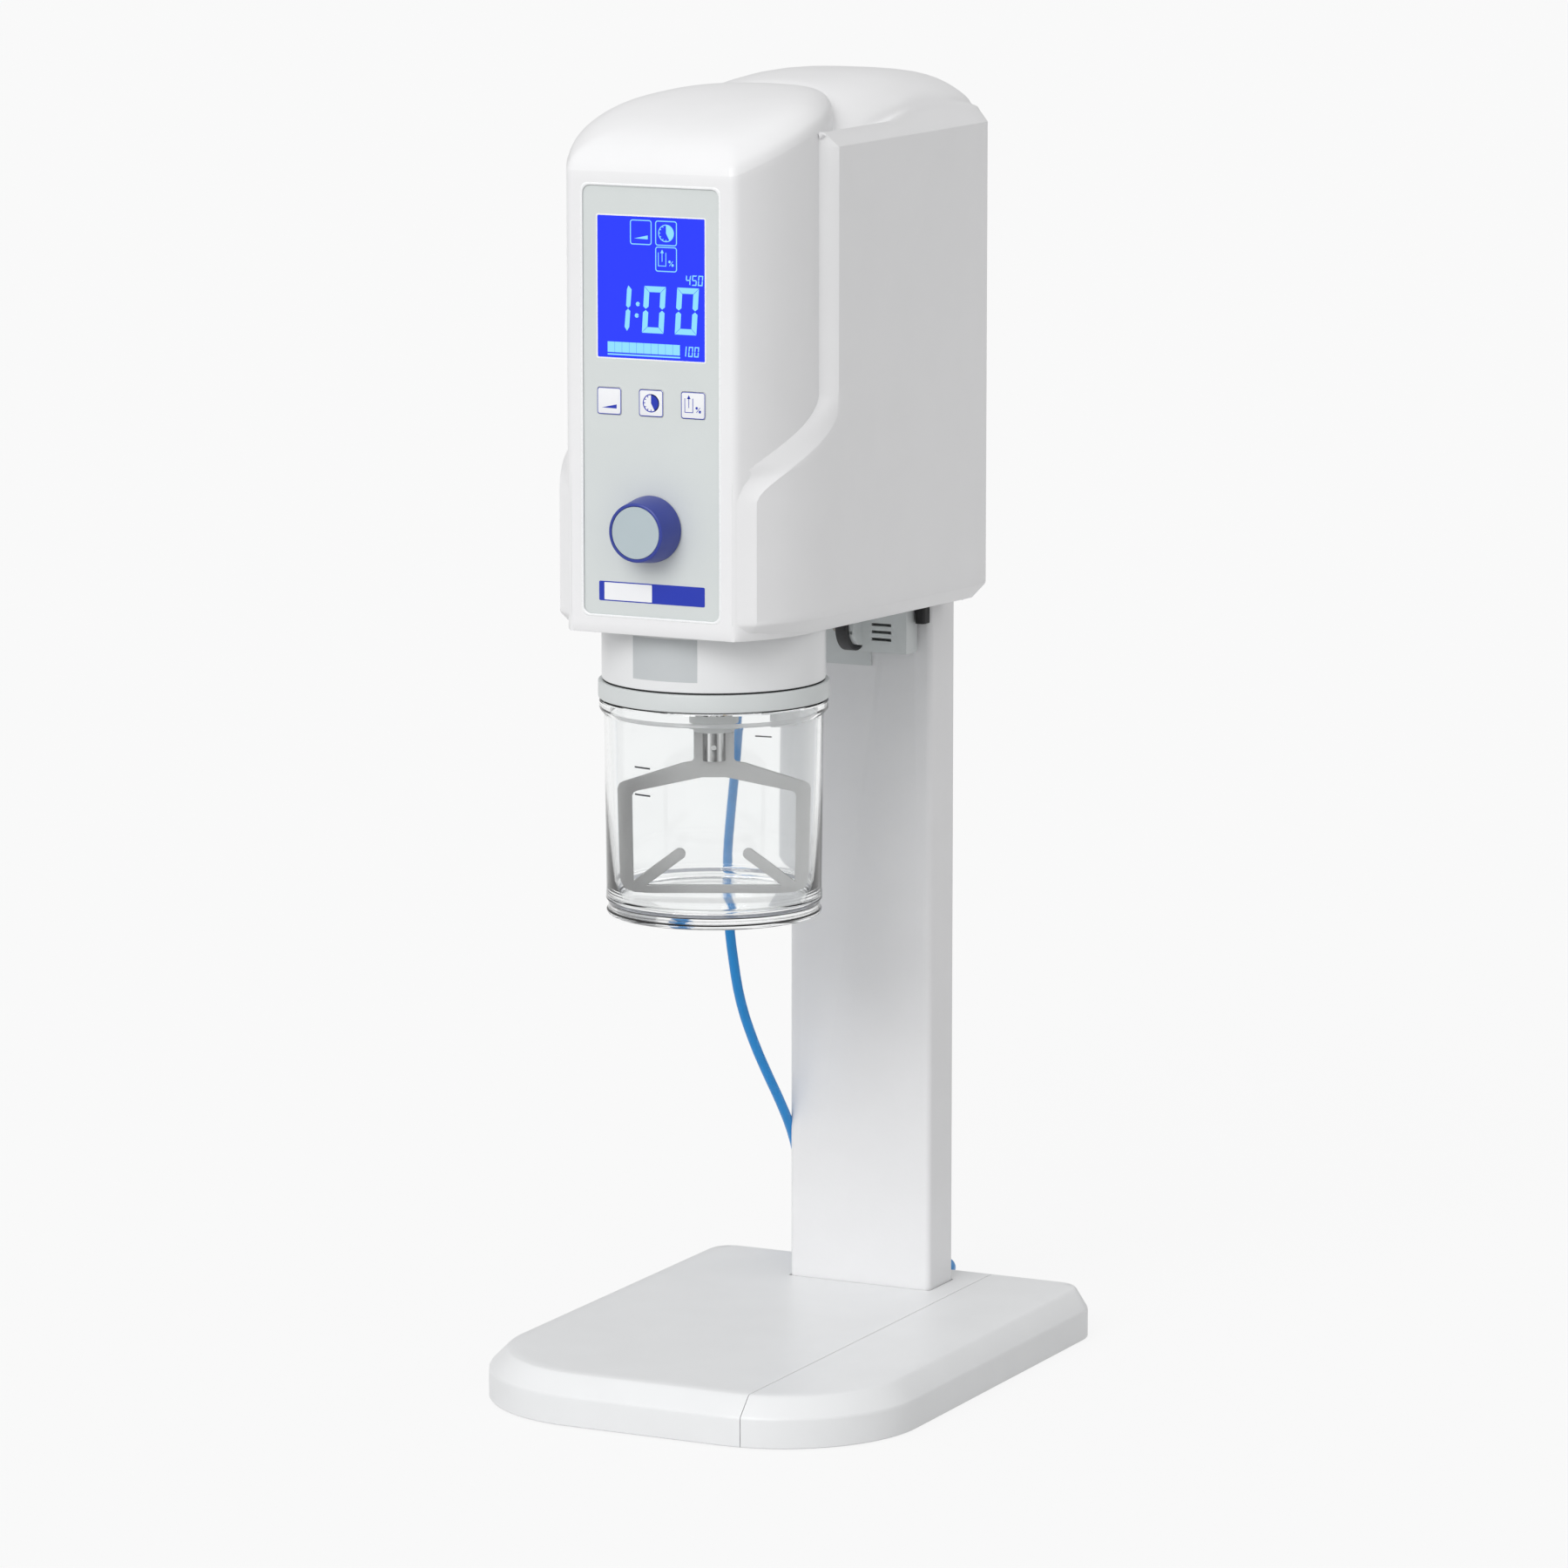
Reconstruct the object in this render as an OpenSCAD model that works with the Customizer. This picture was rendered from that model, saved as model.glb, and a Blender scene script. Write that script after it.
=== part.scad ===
// Vacuum mixer for dental impression material, on its bench stand.
// Millimetres, +Z up. +X is to the operator's right, +Y is away from the operator.
// The origin lies on the bench, under the middle of the mixer without its air hose.
// Every module is drawn with Y counted back from the head's front face, and
// at_row() then brings it to the origin.

/* [Base] */
// Width of the base
base_w = 268; // [240:1:300]
// Depth of the base
base_d = 346.5; // [330:0.5:370]
// Height of the base
base_h = 29.5; // [27:0.5:36]
// Width and height of the slope round the base's top
base_bevel = 11; // [5:0.5:13]
// Inset of the top at the base's rear edge
base_rear_bevel = 3; // [1:0.5:6]
// Radius of the base's front corners
base_front_r = 85; // [50:1:100]
// Radius of the base's rear corners
base_rear_r = 25; // [18:1:32]
// Wall of the base covers
base_wall = 3; // [2:0.25:4]
// Place of the seam between the base covers, right of the middle
seam_x = 62.5; // [56:0.5:70]
// How far the base's front lies ahead of the head's front face
base_ahead = 15; // [5:0.5:18]
// Thickness of the steel plate in the base
ballast_t = 6; // [4:0.5:8]
// Radius of a rubber foot
foot_r = 11; // [8:0.5:14]
// Height of a rubber foot
foot_h = 2; // [1.5:0.25:3]
// Radius of the bosses under the base covers
base_boss_r = 5; // [4:0.5:7]

/* [Column] */
// Width of the column
column_w = 94; // [86:1:98]
// Depth of the column
column_d = 34; // [30:1:40]
// Wall of the column
column_wall = 3; // [2:0.25:4]
// Radius of the column's long edges
column_edge_r = 3.5; // [2:0.25:6]
// Height of the column's upper end
column_top = 690; // [660:1:700]
// How far the column is let into the head's rear
column_in = 16.5; // [12:0.5:24]
// Height of the block in the column's foot
foot_block_h = 55; // [40:1:80]

/* [Head] */
// Width of the head
head_w = 154; // [148:0.5:162]
// Depth of the head
head_d = 288; // [280:1:296]
// Height of the head's lower front edge
head_bottom = 462; // [440:0.2:470]
// Fall of the head's underside towards the rear, in degrees
bottom_fall = 2; // [0:0.25:4]
// Height of the head's long upper side edges
side_top = 735.4; // [725:0.2:745]
// Height of the rear shell's crown
crown_z = 768; // [764:0.5:775]
// Distance of the rear shell's highest line from the front face
crown_y = 225; // [205:1:240]
// Radius of the rear shell's top, seen from the side
barrel_r = 467; // [420:1:520]
// Fall of the rear shell's top from its middle to the slopes
crown_fall = 19.2; // [15:0.2:22]
// Width of the slopes round the head's side faces
chamfer = 8.6; // [6:0.2:10]
// Rise of the long slopes for each millimetre inwards
slope_rise = 1.26; // [1:0.02:1.4]
// Wall of the head shells
shell_wall = 3; // [2:0.25:3.5]
// Half width of the front shell's oval
oval_a = 69; // [67:0.25:70]
// Half depth of the front shell's oval
oval_b = 96; // [94:0.5:98]
// Distance of the oval's middle from the front face
oval_y = 62; // [60:0.5:64]
// Height of the upper edge of the front face
face_top = 726.5; // [724:0.5:732]
// Rise of the front shell's top over its rim
cap_bulge = 10.5; // [7:0.5:12]
// How much higher the front shell's rim runs at its rear end
rear_lift = 7; // [4:0.5:9]
// Thickness of the wall that holds the control panel
front_wall = 5; // [4:0.25:6]
// Distance of the crease between the shells from the front face
crease_y = 75; // [72:0.5:78]
// Distance of the shoulders' front corner from the front face
shoulder_y = 8; // [6:0.5:10]
// How far the shoulders' front corner lies inside the side face
shoulder_in = 14.5; // [13:0.25:15]
// Height at which the shoulder's curve starts
shoulder_z = 540; // [530:1:545]
// Height of the shoulder's curve
shoulder_h = 46; // [40:1:52]

/* [Control panel] */
// Width of the panel
panel_w = 86.3; // [84:0.1:90]
// Height of the panel
panel_h = 243.6; // [236:0.2:248]
// Height of the panel's lower edge over the head's lower front edge
panel_up = 10.6; // [9:0.2:14]
// Corner radius of the panel
panel_r = 4; // [2:0.25:6]
// Thickness of the panel
panel_t = 2; // [1.5:0.1:2.5]
// How far the panel is sunk into the front shell
panel_in = 0.8; // [0.4:0.1:1.2]
// Width of the display window
window_w = 67.6; // [60:0.2:70]
// Height of the display window
window_h = 80; // [74:0.2:84]
// Height of the display window over the panel's lower edge
window_up = 146.6; // [144:0.2:150]
// Width of a key
key_w = 15; // [12:0.25:17]
// Distance from key to key
key_pitch = 26.5; // [24:0.25:28]
// Height of the keys' middle over the panel's lower edge
key_up = 121.9; // [118:0.1:126]
// How far a key stands out of the panel
key_out = 0.4; // [0.2:0.1:0.6]
// Travel of a key
key_travel = 0.6; // [0.3:0.1:0.8]
// Height of the knob's axis over the panel's lower edge
knob_up = 50.7; // [46:0.1:60]
// Radius of the knob at the panel
knob_r = 19; // [15:0.25:21]
// Radius of the knob at its front
knob_front_r = 16.8; // [14.5:0.2:18]
// How far the knob's front lies ahead of the head's face
knob_out = 19.5; // [15:0.25:24]
// Radius of the grey cap on the knob
knob_cap_r = 14.8; // [10:0.2:15]
// Radius of the turning switch's shaft
encoder_r = 3; // [2.5:0.1:3.5]

/* [Drive] */
// Distance of the mixing axis from the front face
axis_y = 78; // [76:0.5:80]
// Distance of the motor's axis behind the mixing axis
motor_back = 90; // [86:0.5:96]
// Radius of the large belt wheel
wheel_r = 34; // [28:0.5:36]
// Radius of the small belt wheel
pinion_r = 12; // [9:0.5:14]
// Width of the belt
belt_w = 10; // [8:0.5:12]
// Thickness of the belt
belt_t = 2.5; // [2:0.25:3]
// Radius of the drive spindle
spindle_r = 6; // [5:0.25:7]
// Radius of the spindle's socket
socket_r = 10; // [9:0.25:11]
// Width across the flats of the paddle shaft's hexagon
hex_af = 9; // [7:0.2:10]
// Outer radius of a spindle bearing
bearing_r = 13; // [12:0.25:15]
// Width of a spindle bearing
bearing_w = 8; // [6:0.5:10]
// Radius of the motor
motor_r = 31; // [26:0.5:34]
// Length of the motor
motor_h = 84; // [70:1:88]
// Radius of the motor's shaft
motor_shaft_r = 4; // [3:0.25:5]
// Height of the motor plate over the bottom plate
motor_plate_up = 105; // [100:1:112]
// Thickness of the motor plate
motor_plate_t = 3; // [2:0.5:4]

/* [Bowl] */
// Radius of the lid
lid_r = 64.5; // [63:0.25:65]
// Height of the lid over its grey ring
lid_h = 37.5; // [33:0.5:42]
// How far the lid reaches up into the head
lid_in = 4; // [2:0.2:6]
// Length of the lid's plug in the beaker
plug_h = 12.5; // [12.2:0.1:18]
// Outer radius of the grey ring
ring_r = 66.6; // [66:0.1:68]
// Height of the grey ring
ring_h = 12; // [9:0.5:14]
// Outer radius of the beaker under its flange
beaker_r = 63.3; // [62.4:0.1:64]
// Outer radius of the beaker at its foot
beaker_foot_r = 62.1; // [61:0.1:62.6]
// Radius of the beaker's flange
flange_r = 66; // [65:0.1:66.4]
// Height of the beaker's flange
flange_h = 7; // [4:0.5:9]
// Height of the beaker
beaker_h = 125; // [110:1:135]
// Wall of the beaker
beaker_wall = 3.5; // [3:0.1:4]
// Thickness of the beaker's floor
beaker_floor = 5.5; // [4:0.25:7]
// Width of the paddle
paddle_w = 112; // [104:0.5:113]
// Thickness of the paddle
paddle_t = 3; // [2:0.25:3.5]
// Width of the paddle's upright bars
paddle_bar = 8.7; // [6:0.1:10]
// Width of the paddle's neck
neck_w = 23.2; // [19:0.2:27]
// Height of the paddle's neck
neck_h = 18; // [15:0.5:21]
// Turn of the paddle at rest, in degrees
paddle_turn = 26; // [0:1:45]
// Radius of the paddle shaft
shaft_r = 6.75; // [6:0.05:7.2]
// Radius of the bush under the lid
bush_r = 14.2; // [12:0.1:16]

/* [Air] */
// Outer diameter of the air hose
hose_d = 6; // [5:0.1:6.2]
// Radius of the filter's turning ring
filter_ring_r = 15.6; // [13.6:0.2:16]
// Width of the filter's turning ring
filter_ring_w = 7; // [5:0.25:8]
// Length of the filter's box
filter_box_l = 29; // [24:0.5:34]
// Depth of the filter's box
filter_box_d = 15; // [13:0.5:15.5]
// Height of the filter's axis over the head's lower front edge, below zero when lower
filter_z_off = -26; // [-30:0.5:-24]
// Radius of the air plug's nipple at the hose's far end
nipple_r = 5; // [4:0.25:5.5]
// Length of the air plug's nipple
nipple_l = 20; // [14:0.5:24]

/* [Hidden] */
$fn = 64;

// Gaps
fit = 0.05;
seam = 0.3;
slip = 0.3;
eps = 0.01;

// Colours
white = "#ececee";
light_grey = "#d5dadb";
mid_grey = "#9ba0a3";
steel = "#b9bcc0";
black = "#26252a";
blue = "#283a96";
hose_blue = "#1583d0";

// Places worked out from the sizes
face_y = knob_out - (base_d - base_ahead + knob_out) / 2;
column_y = head_d - column_in;
base_front = -base_ahead;
base_rear = base_d - base_ahead;
cover_z = 1;
plate_z = foot_h;
plate_top = plate_z + ballast_t;
half_w = head_w / 2;
lid_top = head_bottom + lid_in;
ring_top = lid_top - lid_h;
beaker_top = ring_top - ring_h;
beaker_bottom = beaker_top - beaker_h;
floor_z = beaker_bottom + beaker_floor;
plug_bottom = ring_top - plug_h;
beaker_in_r = beaker_r - beaker_wall;
plug_r = beaker_in_r - 0.9;
bush_bottom = plug_bottom - 13.4;
bush_lip = bush_bottom - 3.6;
paddle_top = bush_lip - 0.4;
paddle_bottom = floor_z + 2;
sheet_z = lid_top + 2;
sheet_t = 3;
sheet_top = sheet_z + sheet_t;
deck_z = sheet_top + motor_plate_up;
deck_top = deck_z + motor_plate_t;
belt_z = deck_top + 6;
back_y = column_y - 5.3;
back_t = 2;
panel_z = head_bottom + panel_up;
panel_back = panel_in + panel_t;
window_z = panel_z + window_up;
keys_z = panel_z + key_up;
knob_z = panel_z + knob_up;
board_y = 20;
board_t = 1.6;
filter_z = head_bottom + filter_z_off;
filter_y = column_y - filter_box_d / 2 - 3.5;
filter_axis = column_y - filter_ring_r - 2.7;
filter_neck_r = filter_ring_r - 3.5;
filter_x = 10.3;
nozzle_r = 4.4;
magnet_ring_r = 50;
magnet_r = 8;
hose_x = -44;
hose_y = 200;
hose_top = head_bottom - 16.6;
boss_top = lid_top - 17;

// The free stretch of the air hose, from its fitting to the coil behind the base
hose_points = [[-44, 200, 459], [-44, 200, 431], [-44, 200, 400], [-45, 200, 365], [-48, 200, 325],
    [-51, 200, 290], [-52, 202, 262], [-52, 207, 235], [-52, 216, 208], [-51, 229, 182],
    [-50.5, 244, 160], [-51, 261, 139], [-52.5, 279, 118], [-55, 297, 96], [-59, 314, 73],
    [-65, 330, 51], [-73, 345, 32], [-81, 359, 19], [-87, 371, 11.5], [-88.5, 378, 9.7],
    [-88.5, 384, 9.7]];

// The coil: two layers, wound inwards on top and outwards below
coil_x = -42;
coil_y = 384 + hose_d;
coil_r = 46.5;
coil_pitch = 6.5;
coil_turns = 6.75;
coil_low = 3.2;
coil_rings = 24;
plug_z = 7.2;

// Helpers
function smooth(t) = t <= 0 ? 0 : t >= 1 ? 1 : t * t * (3 - 2 * t);
function unit(v) = v / norm(v);

module at_row() {
    translate([0, face_y, 0]) children();
}

module at_axis() {
    translate([0, axis_y, 0]) children();
}

module rounded(w, h, r) {
    square([w - 2 * r, h], center = true);
    square([w, h - 2 * r], center = true);
    for (x = [-1, 1], y = [-1, 1])
        translate([x * (w / 2 - r), y * (h / 2 - r)]) circle(r, $fn = 32);
}

// A plate in the XZ plane, from y0 back to y1, round its middle (x, z)
module face_plate(w, h, r, x, z, y0, y1) {
    translate([x, y1, z]) rotate([90, 0, 0]) linear_extrude(y1 - y0) rounded(w, h, r);
}

// A rod along Y from y0 to y1
module rod_y(r, x, z, y0, y1) {
    translate([x, y1, z]) rotate([90, 0, 0]) cylinder(r = r, h = y1 - y0);
}

// A rod along X from x0 to x1
module rod_x(r, y, z, x0, x1) {
    translate([x0, y, z]) rotate([0, 90, 0]) cylinder(r = r, h = x1 - x0);
}

// A rod along Z from z0 to z1
module rod_z(r, x, y, z0, z1) {
    translate([x, y, z0]) cylinder(r = r, h = z1 - z0);
}

// Faces of a tube of rings: n points a ring, m rings
function side_faces(n, m) = [for (i = [0 : m - 2], k = [0 : n - 1])
    each [[i * n + k, (i + 1) * n + k, (i + 1) * n + (k + 1) % n],
          [i * n + k, (i + 1) * n + (k + 1) % n, i * n + (k + 1) % n]]];
function end_faces(n, m) = [[for (k = [0 : n - 1]) k], [for (k = [n - 1 : -1 : 0]) (m - 1) * n + k]];
function fan_faces(n, m) = concat(
    [for (k = [1 : n - 2]) [0, k, k + 1]],
    [for (k = [1 : n - 2]) [(m - 1) * n, (m - 1) * n + k + 1, (m - 1) * n + k]]);

module loft(rings) {
    n = len(rings[0]);
    m = len(rings);
    polyhedron([for (ring = rings) each ring], concat(side_faces(n, m), end_faces(n, m)), 4);
}

function heading(p, i) =
    i == 0 ? unit(p[1] - p[0]) :
    i == len(p) - 1 ? unit(p[i] - p[i - 1]) : unit(p[i + 1] - p[i - 1]);
function tube_ring(c, t, ref, r, n) = let (u = unit(cross(ref, t)), w = cross(t, u))
    [for (k = [0 : n - 1]) c + r * cos(360 * k / n) * u + r * sin(360 * k / n) * w];

module tube(p, r, n, ref) {
    rings = [for (i = [0 : len(p) - 1]) tube_ring(p[i], heading(p, i), ref, r, n)];
    polyhedron([for (ring = rings) each ring],
        concat(side_faces(n, len(p)), fan_faces(n, len(p))), 4);
}

// Countersunk screw with its head at z0, pointing up
module screw_up(x, y, z0, head_r, r, l) {
    translate([x, y, z0]) {
        difference() {
            cylinder(r = head_r, h = 2.4);
            translate([0, 0, -eps]) cylinder(r = head_r * 0.45, h = 1.4, $fn = 6);
        }
        cylinder(r = r, h = l);
    }
}

// Base
function base_ring(inset, rear, z, wall = 0) =
    let (x = base_w / 2 - inset - wall, y0 = base_front + inset + wall, y1 = base_rear - rear - wall,
         rf = base_front_r - inset - wall, rr = max(base_rear_r - inset - wall, 3))
    concat(
        [for (a = [-90 : 7.5 : 0]) [x - rf + rf * cos(a), y0 + rf + rf * sin(a), z]],
        [for (a = [0 : 15 : 90]) [x - rr + rr * cos(a), y1 - rr + rr * sin(a), z]],
        [for (a = [90 : 15 : 180]) [-x + rr + rr * cos(a), y1 - rr + rr * sin(a), z]],
        [for (a = [180 : 7.5 : 270]) [-x + rf + rf * cos(a), y0 + rf + rf * sin(a), z]]);

base_spots = [[-100, 95], [-100, 290], [40, 95], [-60, 180]];
side_spots = [[100, 95], [100, 290]];

module base_solid() {
    loft([base_ring(0, 0, cover_z), base_ring(0, 0, base_h - base_bevel),
        base_ring(base_bevel, base_rear_bevel, base_h)]);
}

module base_hollow() {
    loft([base_ring(0, 0, cover_z - 1, base_wall), base_ring(0, 0, base_h - base_bevel - 1, base_wall),
        base_ring(base_bevel, base_rear_bevel, base_h - base_wall, base_wall)]);
}

module base_bosses(spots) {
    for (p = spots) difference() {
        rod_z(base_boss_r, p[0], p[1], plate_top, base_h - base_wall + 1);
        rod_z(2, p[0], p[1], plate_top - 1, plate_top + 10);
    }
}

module base_cover() color(white) at_row() {
    difference() {
        intersection() {
            base_solid();
            translate([-base_w, base_front - 10, 0]) cube([base_w + seam_x - seam / 2, base_d + 20, base_h + 5]);
        }
        base_hollow();
        translate([0, column_y + column_d / 2, base_h - 15])
            linear_extrude(30) rounded(column_w + 2 * slip, column_d + 2 * slip, column_edge_r);
    }
    base_bosses(base_spots);
}

module base_side_cover() color(white) at_row() {
    difference() {
        intersection() {
            base_solid();
            translate([seam_x + seam / 2, base_front - 10, 0]) cube([base_w, base_d + 20, base_h + 5]);
        }
        base_hollow();
    }
    base_bosses(side_spots);
}

module ballast_plate() color(steel) at_row() difference() {
    loft([base_ring(0, 0, plate_z, base_wall + 1), base_ring(0, 0, plate_top, base_wall + 1)]);
    for (p = concat(base_spots, side_spots)) {
        rod_z(2.2, p[0], p[1], 0, plate_top + 1);
        rod_z(4.2, p[0], p[1], 0, plate_z + 2.6);
    }
    for (x = [-1, 1]) {
        rod_z(3.3, x * column_w * 0.28, column_y + column_d / 2, 0, plate_top + 1);
        rod_z(6.2, x * column_w * 0.28, column_y + column_d / 2, 0, plate_z + 3.6);
    }
}

foot_spots = [[-base_w / 2 + 36, base_front + 60], [base_w / 2 - 36, base_front + 60],
    [-base_w / 2 + 25, base_rear - 25], [base_w / 2 - 25, base_rear - 25]];

module rubber_feet() color(black) at_row()
    for (p = foot_spots) rod_z(foot_r, p[0], p[1], 0, foot_h);

module base_screws() color(steel) at_row() {
    for (p = concat(base_spots, side_spots)) screw_up(p[0], p[1], plate_z + 0.1, 4, 1.9, 13);
    for (x = [-1, 1])
        screw_up(x * column_w * 0.28, column_y + column_d / 2, plate_z + 1.1, 6, 3, 20);
}

// Column
module column_outline(gap = 0) {
    rounded(column_w + 2 * gap, column_d + 2 * gap, column_edge_r + gap);
}

module column_bore(gap = 0) {
    rounded(column_w - 2 * column_wall - 2 * gap, column_d - 2 * column_wall - 2 * gap, 1.5);
}

head_screw_z = [head_bottom + 60, column_top - 50];
head_screw_x = 30;

module column() color(white) at_row() difference() {
    translate([0, column_y + column_d / 2, plate_top]) linear_extrude(column_top - plate_top)
        difference() {
            column_outline();
            column_bore();
        }
    for (x = [-1, 1], z = head_screw_z) rod_y(3.3, x * head_screw_x, z, column_y - 1, column_y + column_wall + 1);
}

module column_foot() color(steel) at_row() difference() {
    translate([0, column_y + column_d / 2, plate_top]) linear_extrude(foot_block_h) column_bore(0.2);
    for (x = [-1, 1]) rod_z(3 + fit, x * column_w * 0.28, column_y + column_d / 2, plate_top - 1, plate_top + 25);
    translate([0, column_y + column_d / 2, plate_top - 1]) linear_extrude(foot_block_h + 2)
        rounded(column_w * 0.3, column_d * 0.35, 2);
}

module column_cap() color(black) at_row()
    translate([0, column_y + column_d / 2, 0]) {
        translate([0, 0, column_top]) linear_extrude(2.5) column_outline();
        translate([0, 0, column_top - 12]) linear_extrude(12) difference() {
            column_bore(0.1);
            column_bore(2.1);
        }
    }

module nut_plate() color(steel) at_row() difference() {
    face_plate(head_screw_x * 2 + 16, head_screw_z[1] - head_screw_z[0] + 30, 3, 0,
        (head_screw_z[0] + head_screw_z[1]) / 2, column_y + column_wall, column_y + column_wall + 5);
    for (x = [-1, 1], z = head_screw_z)
        rod_y(3 + fit, x * head_screw_x, z, column_y, column_y + column_wall + 6);
}

module head_screws() color(steel) at_row()
    for (x = [-1, 1], z = head_screw_z) difference() {
        union() {
            rod_y(3, x * head_screw_x, z, back_y, column_y + column_wall + 7);
            rod_y(5.2, x * head_screw_x, z, back_y - 5, back_y);
        }
        rod_y(2.6, x * head_screw_x, z, back_y - 6, back_y - 2, $fn = 6);
    }

// Head shells
function bottom_z(y) = head_bottom - tan(bottom_fall) * y;
function rim_z(y) = face_top + 0.366 * y - 0.00117 * y * y;
function oval_x(y, g = 0) = (oval_a + g) * sqrt(max(0, 1 - pow((y - oval_y) / (oval_b + g), 2)));
function side_x(y) = y >= crease_y ? half_w :
    half_w - shoulder_in * pow((crease_y - y) / (crease_y - shoulder_y), 2.3);
function crease_in(z) = crease_y * smooth((z - shoulder_z - 11.5) / (shoulder_h - 2));
function crease_out(z) = shoulder_y + (crease_y + chamfer - shoulder_y) * smooth((z - shoulder_z) / shoulder_h);

lip = 1.2;
corner = 6;
side_end = crease_y + 27;

// Right half of the rear shell's outline at height z, drawn in by t
function rear_half(z, t) = let (yi = crease_in(z), yo = crease_out(z)) concat(
    [[oval_x(yi) + lip, yi + t * 0.4], [side_x(yo) - t, yo + t * 0.4]],
    [for (i = [1 : 6]) let (y = yo + (side_end - yo) * i / 6) [side_x(y) - t, y + t * 0.4]],
    [[half_w - t, head_d - corner], [half_w - t - corner * 0.3, head_d - corner * 0.3], [half_w - t - corner, head_d]]);

function rear_ring(z, t, low, up) = let (h = rear_half(z, t), n = len(h)) concat(
    [for (p = h) [p[0], p[1], low ? bottom_z(p[1]) + up : z]],
    [for (i = [n - 1 : -1 : 0]) [-h[i][0], h[i][1], low ? bottom_z(h[i][1]) + up : z]]);

module rear_solid() {
    loft(concat(
        [rear_ring(shoulder_z - 20, chamfer, true, 0), rear_ring(shoulder_z - 20, 0, true, chamfer * 1.1)],
        [for (i = [-1 : 14]) rear_ring(shoulder_z + 4 * i, 0, false, 0)],
        [rear_ring(crown_z + 20, 0, false, 0)]));
}

// The rear shell's top, lowered by t: a barrel over the whole head and the two long slopes
roof_half = [14, 27, 38, 47, 55, 62, half_w - chamfer, half_w - 3, half_w + 3];
roof_x = concat([for (i = [len(roof_half) - 1 : -1 : 0]) -roof_half[i]], roof_half);
function arch(x) = crown_fall * pow(abs(x) / (half_w - chamfer), 3.23);
module barrel(t) {
    translate([0, crown_y, crown_z - barrel_r]) rotate([0, 90, 0]) rotate_extrude($fn = 96)
        polygon(concat([[0, -half_w - 3]],
            [for (x = roof_x) [barrel_r - t - arch(x), x]], [[0, half_w + 3]]));
}

module slopes(t) {
    ridge = 25;
    translate([0, head_d + 30, 0]) rotate([90, 0, 0]) linear_extrude(head_d)
        polygon([[-half_w - 3, head_bottom - 60], [half_w + 3, head_bottom - 60],
            [half_w + 3, side_top - 3 * slope_rise - t],
            [ridge, side_top + (half_w - ridge) * slope_rise - t],
            [-ridge, side_top + (half_w - ridge) * slope_rise - t],
            [-half_w - 3, side_top - 3 * slope_rise - t]]);
}

function oval_ring(g, y0) = let (a0 = asin((y0 - oval_y) / (oval_b + g)), n = 43)
    [for (i = [0 : n]) let (a = a0 + (180 - 2 * a0) * i / n)
        [(oval_a + g) * cos(a), oval_y + (oval_b + g) * sin(a)]];

// The front shell's rim runs up to the rear shell's top behind the oval
function lift(y) = rear_lift * smooth((y - 105) / 50);
function rounding(s) = s < 0.95 ? 0 : 3 * pow((s - 0.95) / 0.05, 3);
function cap_ring(outline, s, drop) = [for (p = outline)
    let (y = crease_y + (p[1] - crease_y) * s, up = lift(p[1]), share = 1 - up / cap_bulge)
        [p[0] * s, y, rim_z(y) + up + ((1 - pow(s, 8)) * cap_bulge - rounding(s)) * share - drop]];
cap_steps = [1, 0.99, 0.975, 0.95, 0.91, 0.86, 0.8, 0.7, 0.5, 0.25, 0.02];

module front_solid(g, y0, drop) {
    o = oval_ring(g, y0);
    loft(concat([[for (p = o) [p[0], p[1], bottom_z(p[1]) - (drop > 0 ? 30 : 0)]]],
        [for (s = cap_steps) cap_ring(o, s, drop)]));
}

skirt_y = crease_y + 9;
skirt_z = side_top - 22;

module front_shell() color(white) at_row() difference() {
    front_solid(0, 0, 0);
    front_solid(-shell_wall, front_wall, shell_wall);
    translate([-half_w, skirt_y, head_bottom - 60]) cube([head_w, head_d, skirt_z - head_bottom + 60]);
    face_plate(panel_w + 2 * slip, panel_h + 2 * slip, panel_r + slip, 0, panel_z + panel_h / 2, -1, panel_back);
    face_plate(panel_w - 8, panel_h - 8, 2, 0, panel_z + panel_h / 2, 0, front_wall + 1);
    rod_z(lid_r + 2 * slip, 0, axis_y, head_bottom - 60, lid_top + 1);
}

module front_space(g) {
    o = oval_ring(g, -8);
    translate([0, 0, head_bottom - 60]) linear_extrude(crown_z) polygon(o);
}

// The space over the valley that runs down from the rear shell's top to the front shell's rim
function valley_ring(g, up) = let (a0 = asin((crease_y - oval_y) / (oval_b + g)), n = 30)
    [for (i = [0 : n]) let (a = a0 + (180 - 2 * a0) * i / n, ye = oval_y + oval_b * sin(a))
        [(oval_a + g) * cos(a), oval_y + (oval_b + g) * sin(a), rim_z(ye) + lift(ye) + up]];
function level_ring(g, z) = [for (p = valley_ring(g, 0)) [p[0], p[1], z]];
module valley(t) {
    loft([level_ring(-6, side_top), valley_ring(seam, -1 - t), valley_ring(seam + 10, 3 - t),
        valley_ring(seam + 20, 7.5 - t), valley_ring(seam + 30, 12.5 - t), level_ring(seam + 30, crown_z + 20)]);
}

// The rear shell's inside, narrower along its lower edges
module cavity() {
    x = half_w - shell_wall;
    translate([0, 0, head_bottom]) rotate([-bottom_fall, 0, 0]) translate([0, head_d + 10, 0]) rotate([90, 0, 0])
        linear_extrude(head_d) polygon([[x, crown_z - head_bottom], [x, chamfer + 1.2], [x - chamfer, 0.4],
            [x - chamfer, -30], [chamfer - x, -30], [chamfer - x, 0.4], [-x, chamfer + 1.2], [-x, crown_z - head_bottom]]);
}

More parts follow.
